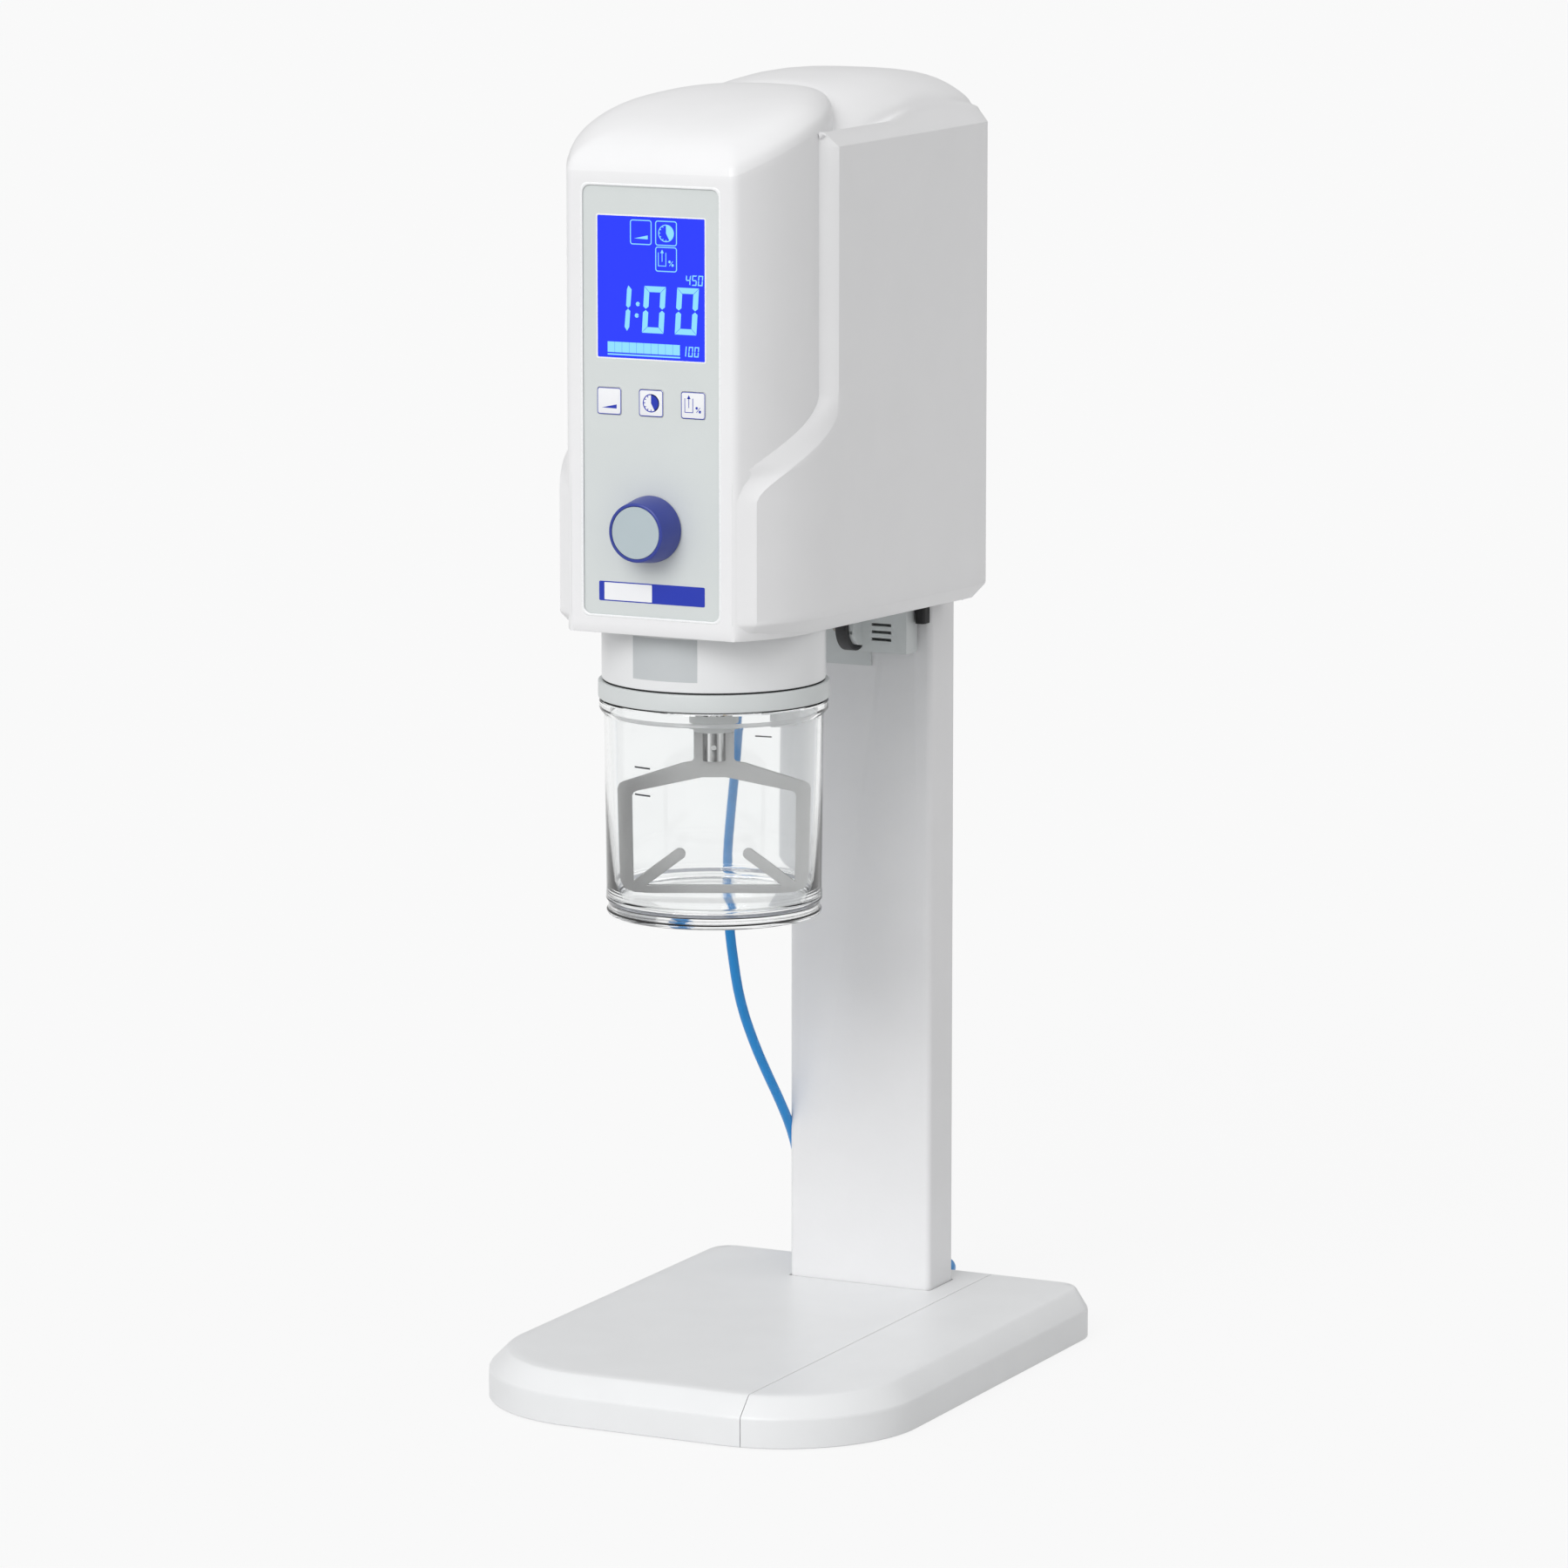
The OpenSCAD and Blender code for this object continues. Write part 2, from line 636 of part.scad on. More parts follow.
module shell_bosses() {
    for (p = housing_spots) difference() {
        translate([p[0] > 0 ? p[0] - 5 : -half_w + 1, p[1] - 3.4, sheet_top])
            cube([half_w - 1 - abs(p[0]) + 5, 6.8, 26]);
        rod_z(1.7 + fit, p[0], p[1], sheet_top - 1, sheet_top + 9);
    }
}

module channel(gap, z1) {
    translate([-column_w / 2 - gap, column_y - gap, head_bottom - 60])
        cube([column_w + 2 * gap, column_d, z1 - head_bottom + 60]);
}

module rear_shell() color(white) at_row() {
    rear_skin();
    shell_bosses();
}

module rear_skin() difference() {
    intersection() {
        difference() {
            rear_solid();
            front_space(seam);
            valley(0);
        }
        slopes(0);
        barrel(0);
    }
    difference() {
        intersection() {
            translate([-half_w + shell_wall, skirt_y - 1, head_bottom - 70])
                cube([head_w - 2 * shell_wall, head_d - shell_wall - skirt_y + 1, crown_z]);
            slopes(shell_wall);
            barrel(shell_wall);
            cavity();
        }
        valley(shell_wall);
        channel(0.5 + 2.5, column_top + 6);
    }
    channel(0.5, column_top + 3.5);
    for (x = [-1, 1], z = head_screw_z) rod_y(3.3, x * head_screw_x, z, back_y, column_y + 1);
}

// Sheet metal of the head
function sheet_outline(g) = concat(
    [for (i = [0 : 16]) let (y = front_wall - g + (skirt_y - 4 - front_wall) * (1 - cos(90 * i / 16)))
        [oval_x(y, -shell_wall + g), y]],
    [[oval_x(skirt_y, -shell_wall + g), skirt_y], [half_w - shell_wall + g, skirt_y],
     [half_w - shell_wall + g, back_y + back_t]]);

module sheet_shape() {
    h = sheet_outline(-slip);
    polygon(concat(h, [for (i = [len(h) - 1 : -1 : 0]) [-h[i][0], h[i][1]]]));
}

housing_spots = [for (y = [axis_y + 52, back_y - 9.2], x = [-1, 1]) [x * (half_w - 11), y]];

module bottom_plate() color(light_grey) at_row() difference() {
    translate([0, 0, sheet_z]) linear_extrude(sheet_t) sheet_shape();
    rod_z(socket_r + 4, 0, axis_y, sheet_z - 1, sheet_top + 1);
    for (a = [30, 150, 270]) rod_z(magnet_r + fit, magnet_ring_r * cos(a), axis_y + magnet_ring_r * sin(a),
        sheet_z - 1, sheet_top + 1);
    rod_z(5 + fit, hose_x, hose_y, sheet_z - 1, sheet_top + 1);
    rod_z(nozzle_r + fit, filter_x + filter_box_l / 2, filter_y, sheet_z - 1, sheet_top + 1);
    translate([inlet_x - inlet_w / 2 - fit, inlet_y - inlet_d / 2 - fit, sheet_z - 1])
        cube([inlet_w + 2 * fit, inlet_d + 2 * fit, sheet_t + 2]);
    for (p = housing_spots) rod_z(1.8, p[0], p[1], sheet_z - 1, sheet_top + 1);
}

module back_plate() color(steel) at_row() difference() {
    translate([-half_w + shell_wall + 2, back_y, sheet_top])
        cube([head_w - 2 * shell_wall - 4, back_t, side_top - 12 - sheet_top]);
    for (x = [-1, 1], z = head_screw_z) rod_y(3 + fit, x * head_screw_x, z, back_y - 1, back_y + back_t + 1);
}

module housing_screws() color(steel) at_row()
    for (p = housing_spots) screw_up(p[0], p[1], sheet_z - 2.4, 3.4, 1.7, 9);

// Control panel
module control_panel() color(light_grey) at_row() difference() {
    face_plate(panel_w, panel_h, panel_r, 0, panel_z + panel_h / 2, panel_in, panel_back);
    face_plate(window_w + 2 * fit, window_h + 2 * fit, 1, 0, window_z + window_h / 2, 0, panel_back + 1);
    for (i = [-1 : 1])
        face_plate(key_w + 2 * slip, key_w + 2 * slip, 1.5, i * key_pitch, keys_z, 0, panel_back + 1);
    rod_y(4.5 + fit, 0, knob_z, 0, panel_back + 1);
}

module display_window() color([0.1, 0.2, 0.9, 0.6]) at_row()
    face_plate(window_w, window_h, 1, 0, window_z + window_h / 2, panel_in + 0.1, panel_back);

module display_module() color("#2c6a3c") at_row() {
    face_plate(window_w + 6, window_h + 1, 1, 0, window_z + window_h / 2, panel_back, panel_back + 6);
    face_plate(window_w - 8, window_h - 8, 1, 0, window_z + window_h / 2, panel_back + 6, board_y);
}

module key(i) at_row() {
    x = i * key_pitch;
    face_plate(key_w, key_w, 1.2, x, keys_z, panel_in - key_out, panel_back + 1);
    face_plate(key_w + 3, key_w + 3, 1.5, x, keys_z, panel_back + slip, panel_back + slip + 1.2);
    rod_y(2.5, x, keys_z, panel_back + 1, board_y - 6.3 - key_travel);
}

module speed_key() color("white") key(-1);
module time_key() color("white") key(0);
module vacuum_key() color("white") key(1);

module key_switches() color(black) at_row()
    for (i = [-1 : 1]) {
        face_plate(6, 6, 0.5, i * key_pitch, keys_z, board_y - 4, board_y);
        rod_y(1.75, i * key_pitch, keys_z, board_y - 6, board_y - 4);
    }

module control_board() color("#1f5c33") at_row() difference() {
    face_plate(panel_w - 10, panel_h - 14, 2, 0, panel_z + panel_h / 2, board_y, board_y + board_t);
    for (x = [-1, 1], z = [-1, 1])
        rod_y(1.6, x * (panel_w / 2 - 9), panel_z + panel_h / 2 + z * (panel_h / 2 - 12), board_y - 1, board_y + 3);
}

module board_spacers() color(steel) at_row()
    for (x = [-1, 1], z = [-1, 1]) {
        sx = x * (panel_w / 2 - 9);
        sz = panel_z + panel_h / 2 + z * (panel_h / 2 - 12);
        rod_y(3, sx, sz, panel_back, board_y);
        rod_y(1.5, sx, sz, board_y, board_y + 3);
    }

module encoder_body() color(mid_grey) at_row() difference() {
    union() {
        face_plate(14, 14, 1, 0, knob_z, 9, board_y);
        rod_y(4.5, 0, knob_z, -1.5, 9);
    }
    rod_y(encoder_r + fit, 0, knob_z, -3, 13);
}

module encoder_shaft() color(steel) at_row() rod_y(encoder_r, 0, knob_z, 3 - knob_out, 12.5);

module knob() color(blue) at_row() difference() {
    translate([0, panel_in - 0.5, knob_z]) rotate([90, 0, 0]) rotate_extrude($fn = 96)
        polygon([[0, 0], [knob_r, 0], [knob_r, 2.5], [knob_front_r, panel_in - 2.3 + knob_out],
            [knob_front_r - 1.2, panel_in - 0.5 + knob_out], [0, panel_in - 0.5 + knob_out]]);
    rod_y(7.5, 0, knob_z, -3, panel_in + 1);
    rod_y(encoder_r + fit, 0, knob_z, 2.8 - knob_out, 1);
    rod_y(knob_cap_r + fit, 0, knob_z, -knob_out - 1, 1.2 - knob_out);
}

module knob_cap() color("#b2c0c6") at_row() rod_y(knob_cap_r, 0, knob_z, 0.2 - knob_out, 1.2 - knob_out);

// Drive
module motor_plate() color(steel) at_row() difference() {
    translate([-56, 34, deck_z]) cube([112, back_y - 34, motor_plate_t]);
    rod_z(spindle_r + 2, 0, axis_y, deck_z - 1, deck_top + 1);
    rod_z(motor_shaft_r + 3, 0, axis_y + motor_back, deck_z - 1, deck_top + 1);
}

module motor_can() color(mid_grey) at_row() translate([0, axis_y + motor_back, 0]) difference() {
    rod_z(motor_r, 0, 0, deck_z - motor_h, deck_z);
    rod_z(motor_r - 8, 0, 0, deck_z - motor_h + 8, deck_z - 8);
    rod_z(motor_shaft_r + fit, 0, 0, deck_z - motor_h + 4, deck_z + 1);
}

module motor_rotor() color(steel) at_row() translate([0, axis_y + motor_back, 0]) {
    rod_z(motor_shaft_r, 0, 0, deck_z - motor_h + 4.5, belt_z + belt_w + 4);
    rod_z(motor_r - 8.6, 0, 0, deck_z - motor_h + 9, deck_z - 9);
}

// A belt wheel with a rim at each side of the belt
module belt_wheel(r, bore) difference() {
    rotate_extrude($fn = 96) polygon([[0, -2], [r + 3, -2], [r + 3, -0.8], [r, -0.5],
        [r, belt_w + 0.5], [r + 3, belt_w + 0.8], [r + 3, belt_w + 2], [0, belt_w + 2]]);
    translate([0, 0, -3]) cylinder(r = bore + fit, h = belt_w + 6);
}

module small_belt_wheel() color(steel) at_row()
    translate([0, axis_y + motor_back, belt_z]) belt_wheel(pinion_r, motor_shaft_r);

module large_belt_wheel() color(light_grey) at_row() difference() {
    translate([0, axis_y, belt_z]) belt_wheel(wheel_r, spindle_r);
    for (a = [0 : 60 : 300])
        rod_z(wheel_r * 0.17, wheel_r * 0.6 * cos(a), axis_y + wheel_r * 0.6 * sin(a), belt_z - 3, belt_z + belt_w + 3);
}

module belt_outline(g) {
    hull() {
        circle(wheel_r + g, $fn = 48);
        translate([0, motor_back]) circle(pinion_r + g, $fn = 32);
    }
}

module drive_belt() color(black) at_row() translate([0, axis_y, belt_z])
    linear_extrude(belt_w) difference() {
        belt_outline(slip + belt_t);
        belt_outline(slip);
    }

socket_z = boss_top + 3;
socket_top = socket_z + 32;
tube_z = socket_top + 3;

module drive_spindle() color(steel) at_row() at_axis() difference() {
    union() {
        rod_z(socket_r, 0, 0, socket_z, socket_top);
        rod_z(spindle_r, 0, 0, socket_top, belt_z + belt_w + 5);
    }
    translate([0, 0, socket_z - 1]) rotate([0, 0, paddle_turn])
        cylinder(r = (hex_af / 2 + 0.15) / cos(30), h = 20, $fn = 6);
}

bearing_heights = [tube_z, deck_z - 4 - bearing_w];

module spindle_bearings() color(steel) at_row() at_axis()
    for (z = bearing_heights) translate([0, 0, z]) rotate_extrude()
        polygon([[spindle_r + fit, 0], [bearing_r - 3.4, 0], [bearing_r - 3.4, 0.6], [bearing_r - 1.8, 0.6],
            [bearing_r - 1.8, 0], [bearing_r, 0], [bearing_r, bearing_w], [bearing_r - 1.8, bearing_w],
            [bearing_r - 1.8, bearing_w - 0.6], [bearing_r - 3.4, bearing_w - 0.6], [bearing_r - 3.4, bearing_w],
            [spindle_r + fit, bearing_w]]);

module bearing_tube() color(light_grey) at_row() at_axis() difference() {
    union() {
        rod_z(bearing_r + 4, 0, 0, tube_z - 2, deck_z);
        rod_z(bearing_r + 13, 0, 0, deck_z - 4, deck_z);
    }
    rod_z(bearing_r + fit, 0, 0, tube_z - 3, tube_z + bearing_w);
    rod_z(bearing_r + fit, 0, 0, deck_z - 4 - bearing_w, deck_z + 1);
    rod_z(bearing_r - 2, 0, 0, tube_z - 3, deck_z + 1);
}

module holding_magnets() color(steel) at_row() at_axis()
    for (a = [30, 150, 270]) rod_z(magnet_r, magnet_ring_r * cos(a), magnet_ring_r * sin(a),
        lid_top + slip, sheet_top + 1);

module power_supply() color("#3b6b46") at_row() {
    for (x = [-1, 1], z = [12, 96]) rod_y(3, x * 44, deck_top + 20 + z, back_y - 6, back_y);
    face_plate(100, 96, 2, 0, deck_top + 74, back_y - 7.6, back_y - 6);
    face_plate(42, 36, 2, -22, deck_top + 92, back_y - 34, back_y - 7.6);
    face_plate(22, 60, 1, 28, deck_top + 72, back_y - 26, back_y - 7.6);
    for (x = [-34, -16, 2]) rod_y(6, x, deck_top + 50, back_y - 30, back_y - 7.6);
}

// Air and vacuum
module vacuum_ejector() color(mid_grey) at_row() difference() {
    union() {
        translate([hose_x - 11, hose_y - 13, sheet_top]) cube([22, 26, 62]);
        rod_z(8, hose_x, hose_y, sheet_top + 62, sheet_top + 84);
        rod_x(4.5, hose_y, sheet_top + 40, hose_x + 11, hose_x + 18);
    }
    rod_z(3, hose_x, hose_y, sheet_top + 12, sheet_top + 85);
    rod_x(2, hose_y, sheet_top + 40, hose_x, hose_x + 19);
    rod_z(5 + fit, hose_x, hose_y, sheet_top - 1, sheet_top + 8);
}

line_end = [filter_x + filter_box_l / 2, filter_y, sheet_top + 14];
line_start = [hose_x + 18, hose_y, sheet_top + 40];
line_points = [line_start, line_start + [8, 0, 0], line_start + [16, 2, 0.5], line_start + [23, 8, 1],
    line_start + [28, 18, 0], [line_end[0] - 8, line_end[1] - 24, line_end[2] + 23],
    [line_end[0] - 3, line_end[1] - 12, line_end[2] + 21], [line_end[0] - 0.6, line_end[1] - 4, line_end[2] + 15],
    line_end + [0, 0, 7], line_end];

module suction_line() color("#cfe3ea") at_row() tube(line_points, 2.8, 8, [0.3, 0.5, 1]);

module air_fitting() color(steel) at_row() difference() {
    union() {
        rod_z(5, hose_x, hose_y, sheet_z, sheet_top + 7);
        translate([hose_x, hose_y, sheet_z - 7]) cylinder(r = 8, h = 7, $fn = 6);
        rod_z(6.5, hose_x, hose_y, hose_top + 2, sheet_z - 7);
    }
    rod_z(1.8, hose_x, hose_y, hose_top, sheet_top + 8);
    rod_z(hose_d / 2 + 0.1, hose_x, hose_y, hose_top, hose_top + 16);
    rod_z(hose_d / 2 + 1.7, hose_x, hose_y, hose_top, hose_top + 10);
}

module release_collet() color(blue) at_row() difference() {
    union() {
        rod_z(5.6, hose_x, hose_y, hose_top - 1, hose_top + 0.6);
        rod_z(hose_d / 2 + 1.5, hose_x, hose_y, hose_top - 1, hose_top + 8.5);
    }
    rod_z(hose_d / 2 + 0.2, hose_x, hose_y, hose_top - 2, hose_top + 10);
}

inlet_w = 22;
inlet_d = 28;
inlet_x = -58;
inlet_y = back_y - 34.2;

module mains_inlet() color(black) at_row() difference() {
    union() {
        translate([inlet_x - inlet_w / 2, inlet_y - inlet_d / 2, sheet_z]) cube([inlet_w, inlet_d, 24]);
        translate([inlet_x - inlet_w / 2 - 2, inlet_y - inlet_d / 2 - 2, sheet_z - 2.5])
            cube([inlet_w + 4, inlet_d + 4, 2.5]);
    }
    difference() {
        translate([inlet_x - inlet_w / 2 + 2.5, inlet_y - inlet_d / 2 + 2.5, sheet_z - 4])
            cube([inlet_w - 5, inlet_d - 5, 21]);
        for (p = [[-3, -7], [-3, 7], [3, 0]])
            translate([inlet_x + p[0] - 1, inlet_y + p[1] - 2, sheet_z - 1]) cube([2, 4, 20]);
    }
}

module filter_housing() color(light_grey) at_row() difference() {
    union() {
        translate([filter_x, filter_y - filter_box_d / 2, filter_z - 16])
            cube([filter_box_l, filter_box_d, sheet_z - filter_z + 16]);
        rod_z(nozzle_r, filter_x + filter_box_l / 2, filter_y, sheet_z, sheet_top + 14);
        rod_x(filter_neck_r, filter_axis, filter_z, filter_x - 9, filter_x);
        translate([-30, column_y - 2.4, filter_z - 27]) cube([38, 2, 42]);
        translate([8 - eps, column_y - 4.2, filter_z - 12]) cube([22, 3.8, 27]);
    }
    translate([filter_x + 2, filter_y - filter_box_d / 2 + 2, filter_z - 14])
        cube([filter_box_l - 4, filter_box_d - 4, 36]);
    for (i = [0 : 2]) translate([filter_x + 6, filter_y - filter_box_d / 2 - 1, filter_z - 9 + 4.4 * i])
        cube([13, 4, 1.8]);
    rod_x(filter_neck_r - 3, filter_axis, filter_z, filter_x - 10, filter_x - 0.8);
    rod_x(2.4, filter_y, filter_z, filter_x - 1, filter_x + 3);
    rod_z(2.5, filter_x + filter_box_l / 2, filter_y, filter_z + 14, sheet_top + 15);
    for (z = [-1, 1]) translate([filter_x - 4, filter_axis - filter_neck_r - 1, filter_z + 3.4 * z - 1])
        cube([2.6, 3.4, 2]);
}

module filter_ring() color(black) at_row() difference() {
    rod_x(filter_ring_r, filter_axis, filter_z, filter_x - 3.8 - filter_ring_w, filter_x - 2.8);
    rod_x(filter_neck_r + slip, filter_axis, filter_z, filter_x - 9.3, filter_x);
    rod_x(filter_neck_r - 2.8, filter_axis, filter_z, filter_x - 12, filter_x);
}

module filter_plug() color(mid_grey) at_row() difference() {
    union() {
        rod_x(filter_neck_r - 3.3, filter_axis, filter_z, filter_x - 4 - filter_ring_w, filter_x - 1.2);
        rod_x(5, filter_axis, filter_z, filter_x - 11 - filter_ring_w, filter_x - 4 - filter_ring_w);
    }
    rod_x(2.5, filter_axis, filter_z, filter_x - 12 - filter_ring_w, filter_x);
}

buffer_w = 6.4;

module rubber_buffers() color(black) at_row()
    for (x = [-1, 1]) translate([x * (column_w / 2 - buffer_w / 2 - 0.2), column_y, head_bottom - 24.5]) {
        translate([0, -5, 0]) linear_extrude(12) rounded(buffer_w, 9.2, 2);
        translate([0, -6.6, 0]) linear_extrude(sheet_z - head_bottom + 24.5) rounded(buffer_w, 6, 2);
    }

// Bowl
module lid() color(white) at_row() at_axis() {
    difference() {
        union() {
            rotate_extrude($fn = 128) polygon([[bush_r - 4, plug_bottom], [plug_r, plug_bottom], [plug_r, ring_top],
                [lid_r, ring_top], [lid_r, lid_top], [lid_r - 3, lid_top], [lid_r - 3, ring_top + 4],
                [plug_r - 4, ring_top], [plug_r - 4, plug_bottom + 4], [bush_r, plug_bottom + 4],
                [bush_r, boss_top], [bush_r - 4, boss_top]]);
            for (a = [30, 150, 270]) rod_z(magnet_r + 0.5, magnet_ring_r * cos(a), magnet_ring_r * sin(a),
                plug_bottom + 3, lid_top - 3);
            rod_z(9, port_x, port_y, plug_bottom - 13, plug_bottom + 5);
        }
        rod_z(4, port_x, port_y, plug_bottom - 14, plug_bottom + 6);
    }
}

port_x = 37;
port_y = 18;

module catch_plates() color(steel) at_row() at_axis()
    for (a = [30, 150, 270]) rod_z(magnet_r, magnet_ring_r * cos(a), magnet_ring_r * sin(a), lid_top - 3, lid_top);

module seal_ring() color(light_grey) at_row() at_axis() rotate_extrude($fn = 128)
    polygon([[plug_r + 0.1, beaker_top + slip], [ring_r - 1, beaker_top + slip], [ring_r, beaker_top + slip + 1],
        [ring_r, ring_top - 1.2], [ring_r - 1, ring_top - 0.2], [plug_r + 0.1, ring_top - 0.2]]);

module lid_bush() color(mid_grey) at_row() at_axis() rotate_extrude()
    polygon([[shaft_r + fit, bush_lip], [bush_r - 2.4, bush_lip], [bush_r - 2.4, bush_bottom], [bush_r, bush_bottom],
        [bush_r, plug_bottom], [bush_r - 4 - fit, plug_bottom], [bush_r - 4 - fit, boss_top], [shaft_r + fit, boss_top]]);

module shaft_clip() color(steel) at_row() at_axis() difference() {
    rod_z(shaft_r + 2.4, 0, 0, boss_top + slip, boss_top + slip + 1.2);
    rod_z(shaft_r + fit, 0, 0, boss_top, boss_top + 3);
}

slot_top = paddle_top + 0.2;

module paddle_shaft() color(steel) at_row() at_axis() rotate([0, 0, paddle_turn]) difference() {
    union() {
        rod_z(shaft_r, 0, 0, paddle_top - neck_h + 0.5, boss_top + 2);
        translate([0, 0, boss_top + 2]) cylinder(r = hex_af / 2 / cos(30), h = 18, $fn = 6);
    }
    translate([-shaft_r - 1, -paddle_t / 2 - 0.1, paddle_top - neck_h - 1])
        cube([2 * shaft_r + 2, paddle_t + 0.2, slot_top - paddle_top + neck_h + 1]);
    rod_y(1.5 + fit, 0, pin_z, -shaft_r - 1, shaft_r + 1);
}

pin_z = paddle_top - neck_h / 2;

module paddle_pin() color(steel) at_row() at_axis() rotate([0, 0, paddle_turn])
    rod_y(1.5, 0, pin_z, -shaft_r + 0.3, shaft_r - 0.3);

// A bar with round ends in the paddle's own plane
module bar(p, q, r) {
    a = atan2(q[1] - p[1], q[0] - p[0]);
    polygon(concat([for (t = [90 : 20 : 270]) p + r * [cos(a + t), sin(a + t)]],
        [for (t = [-90 : 20 : 90]) q + r * [cos(a + t), sin(a + t)]]));
}

module paddle_half() {
    w = paddle_w / 2;
    b = w - paddle_bar;
    low = paddle_bottom;
    neck = paddle_top - neck_h;
    difference() {
        polygon([[-1, low], [w - 9, low], [w - 3, low + 3], [w, low + 9], [w, neck - 17], [w - 1.2, neck - 14.1],
            [w - 4, neck - 12.7], [neck_w / 2 + 6.5, neck - 1], [neck_w / 2 + 1, neck], [neck_w / 2, neck + 1.5],
            [neck_w / 2, paddle_top], [-1, paddle_top]]);
        polygon([[-1, low + 5], [b - 3, low + 5], [b, low + 8], [b, neck - 21.5], [b - 1, neck - 19.3], [b - 3, neck - 18.3],
            [7, neck - 9.8], [-1, neck - 9.8]]);
    }
    bar([b - 3, low + 5.5], [20, low + 24.3], 3.4);
}

module paddle() color("#a8aaac") at_row() at_axis() rotate([0, 0, paddle_turn]) difference() {
    translate([0, paddle_t / 2, 0]) rotate([90, 0, 0]) linear_extrude(paddle_t) {
        paddle_half();
        mirror([1, 0]) paddle_half();
    }
    rod_y(1.5 + fit, 0, pin_z, -paddle_t, paddle_t);
}

module beaker() color([0.85, 0.88, 0.9, 0.35]) at_row() at_axis() rotate_extrude($fn = 128)
    polygon([[0, beaker_bottom], [beaker_foot_r - 2.5, beaker_bottom], [beaker_foot_r, beaker_bottom + 1.2],
        [beaker_foot_r, beaker_bottom + 2.4], [beaker_foot_r - 0.9, beaker_bottom + 3.2],
        [beaker_foot_r - 0.9, beaker_bottom + 7], [beaker_foot_r + 0.3, beaker_bottom + 9],
        [beaker_foot_r + 0.3, beaker_bottom + 13], [beaker_foot_r, beaker_bottom + 13.6],
        [beaker_r, beaker_top - flange_h - 2], [flange_r, beaker_top - flange_h + 1.5], [flange_r, beaker_top - 1],
        [flange_r - 1, beaker_top], [beaker_in_r, beaker_top], [beaker_foot_r - beaker_wall, floor_z + 6],
        [beaker_foot_r - beaker_wall - 2, floor_z + 1.6], [beaker_foot_r - beaker_wall - 6, floor_z], [0, floor_z]]);

// Air hose
module air_hose() color(hose_blue) at_row() tube(hose_points, hose_d / 2, 8, [1, 0, 0]);

// Angle, radius and height along the coil, for s from 0 at the hose to 1 at the plug
function coil_angle(s) = 180 - 360 * coil_turns * s;
function coil_radius(s) = coil_r - coil_pitch * coil_turns * (s < 0.5 ? s : 1 - s);
coil_climb = 0.5 / coil_turns;
function coil_height(s) = coil_low + coil_pitch * (1 - smooth((s - 0.5 + coil_climb / 2) / coil_climb));
function coil_point(s) = [coil_x + coil_radius(s) * cos(coil_angle(s)),
    coil_y + coil_radius(s) * sin(coil_angle(s)), coil_height(s)];
coil_count = round(coil_turns * coil_rings);
coil_out = [coil_x, coil_y - coil_r, coil_low];
coil_lead = [[4, 0], [10, 1], [16, 3], [21, plug_z - coil_low], [27, plug_z - coil_low]];
coil_end = coil_out + [-coil_lead[4][0], 0, coil_lead[4][1]];
coil_points = concat([[coil_x - coil_r, coil_y - hose_d, coil_low + coil_pitch]],
    [for (i = [0 : coil_count]) coil_point(i / coil_count)], [for (p = coil_lead) coil_out + [-p[0], 0, p[1]]]);

// Least gap between turns that lie at least two thirds of a turn apart
coil_gap = min([for (i = [0 : coil_count], j = [i + 16 : 1 : len(coil_points) - 1])
    norm(coil_points[i] - coil_points[j])]) - hose_d;
echo("least gap between the coil's turns", coil_gap);

module hose_coil() color(hose_blue) at_row() tube(coil_points, hose_d / 2, 6, [0, 0, 1]);

module air_plug() color("#c9a24b") at_row() translate(coil_end) rotate([0, -90, 0]) {
    difference() {
        union() {
            cylinder(r = 6.8, h = 16, $fn = 6);
            translate([0, 0, 16]) cylinder(r = 6.2, h = 4);
            translate([0, 0, 20]) cylinder(r = nipple_r, h = nipple_l);
        }
        translate([0, 0, 2]) cylinder(r = 2, h = 20 + nipple_l);
    }
}

base_cover();
base_side_cover();
ballast_plate();
rubber_feet();
base_screws();
column();
column_foot();
column_cap();
nut_plate();
head_screws();
front_shell();
rear_shell();
bottom_plate();
back_plate();
housing_screws();
control_panel();
display_window();
display_module();
speed_key();
time_key();
vacuum_key();
key_switches();
control_board();
board_spacers();
encoder_body();
encoder_shaft();
knob();
knob_cap();
motor_plate();
motor_can();
motor_rotor();
small_belt_wheel();
drive_belt();
large_belt_wheel();
drive_spindle();
spindle_bearings();
bearing_tube();
holding_magnets();
power_supply();
vacuum_ejector();
suction_line();
air_fitting();
release_collet();
mains_inlet();
filter_housing();
filter_ring();
filter_plug();
rubber_buffers();
lid();
catch_plates();
seal_ring();
lid_bush();
shaft_clip();
paddle_shaft();
paddle_pin();
paddle();
beaker();
air_hose();
hose_coil();
air_plug();
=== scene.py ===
"""Looks of the vacuum mixer for dental impression material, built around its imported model."""
import math

import bmesh
import bpy
from mathutils import Matrix, Vector


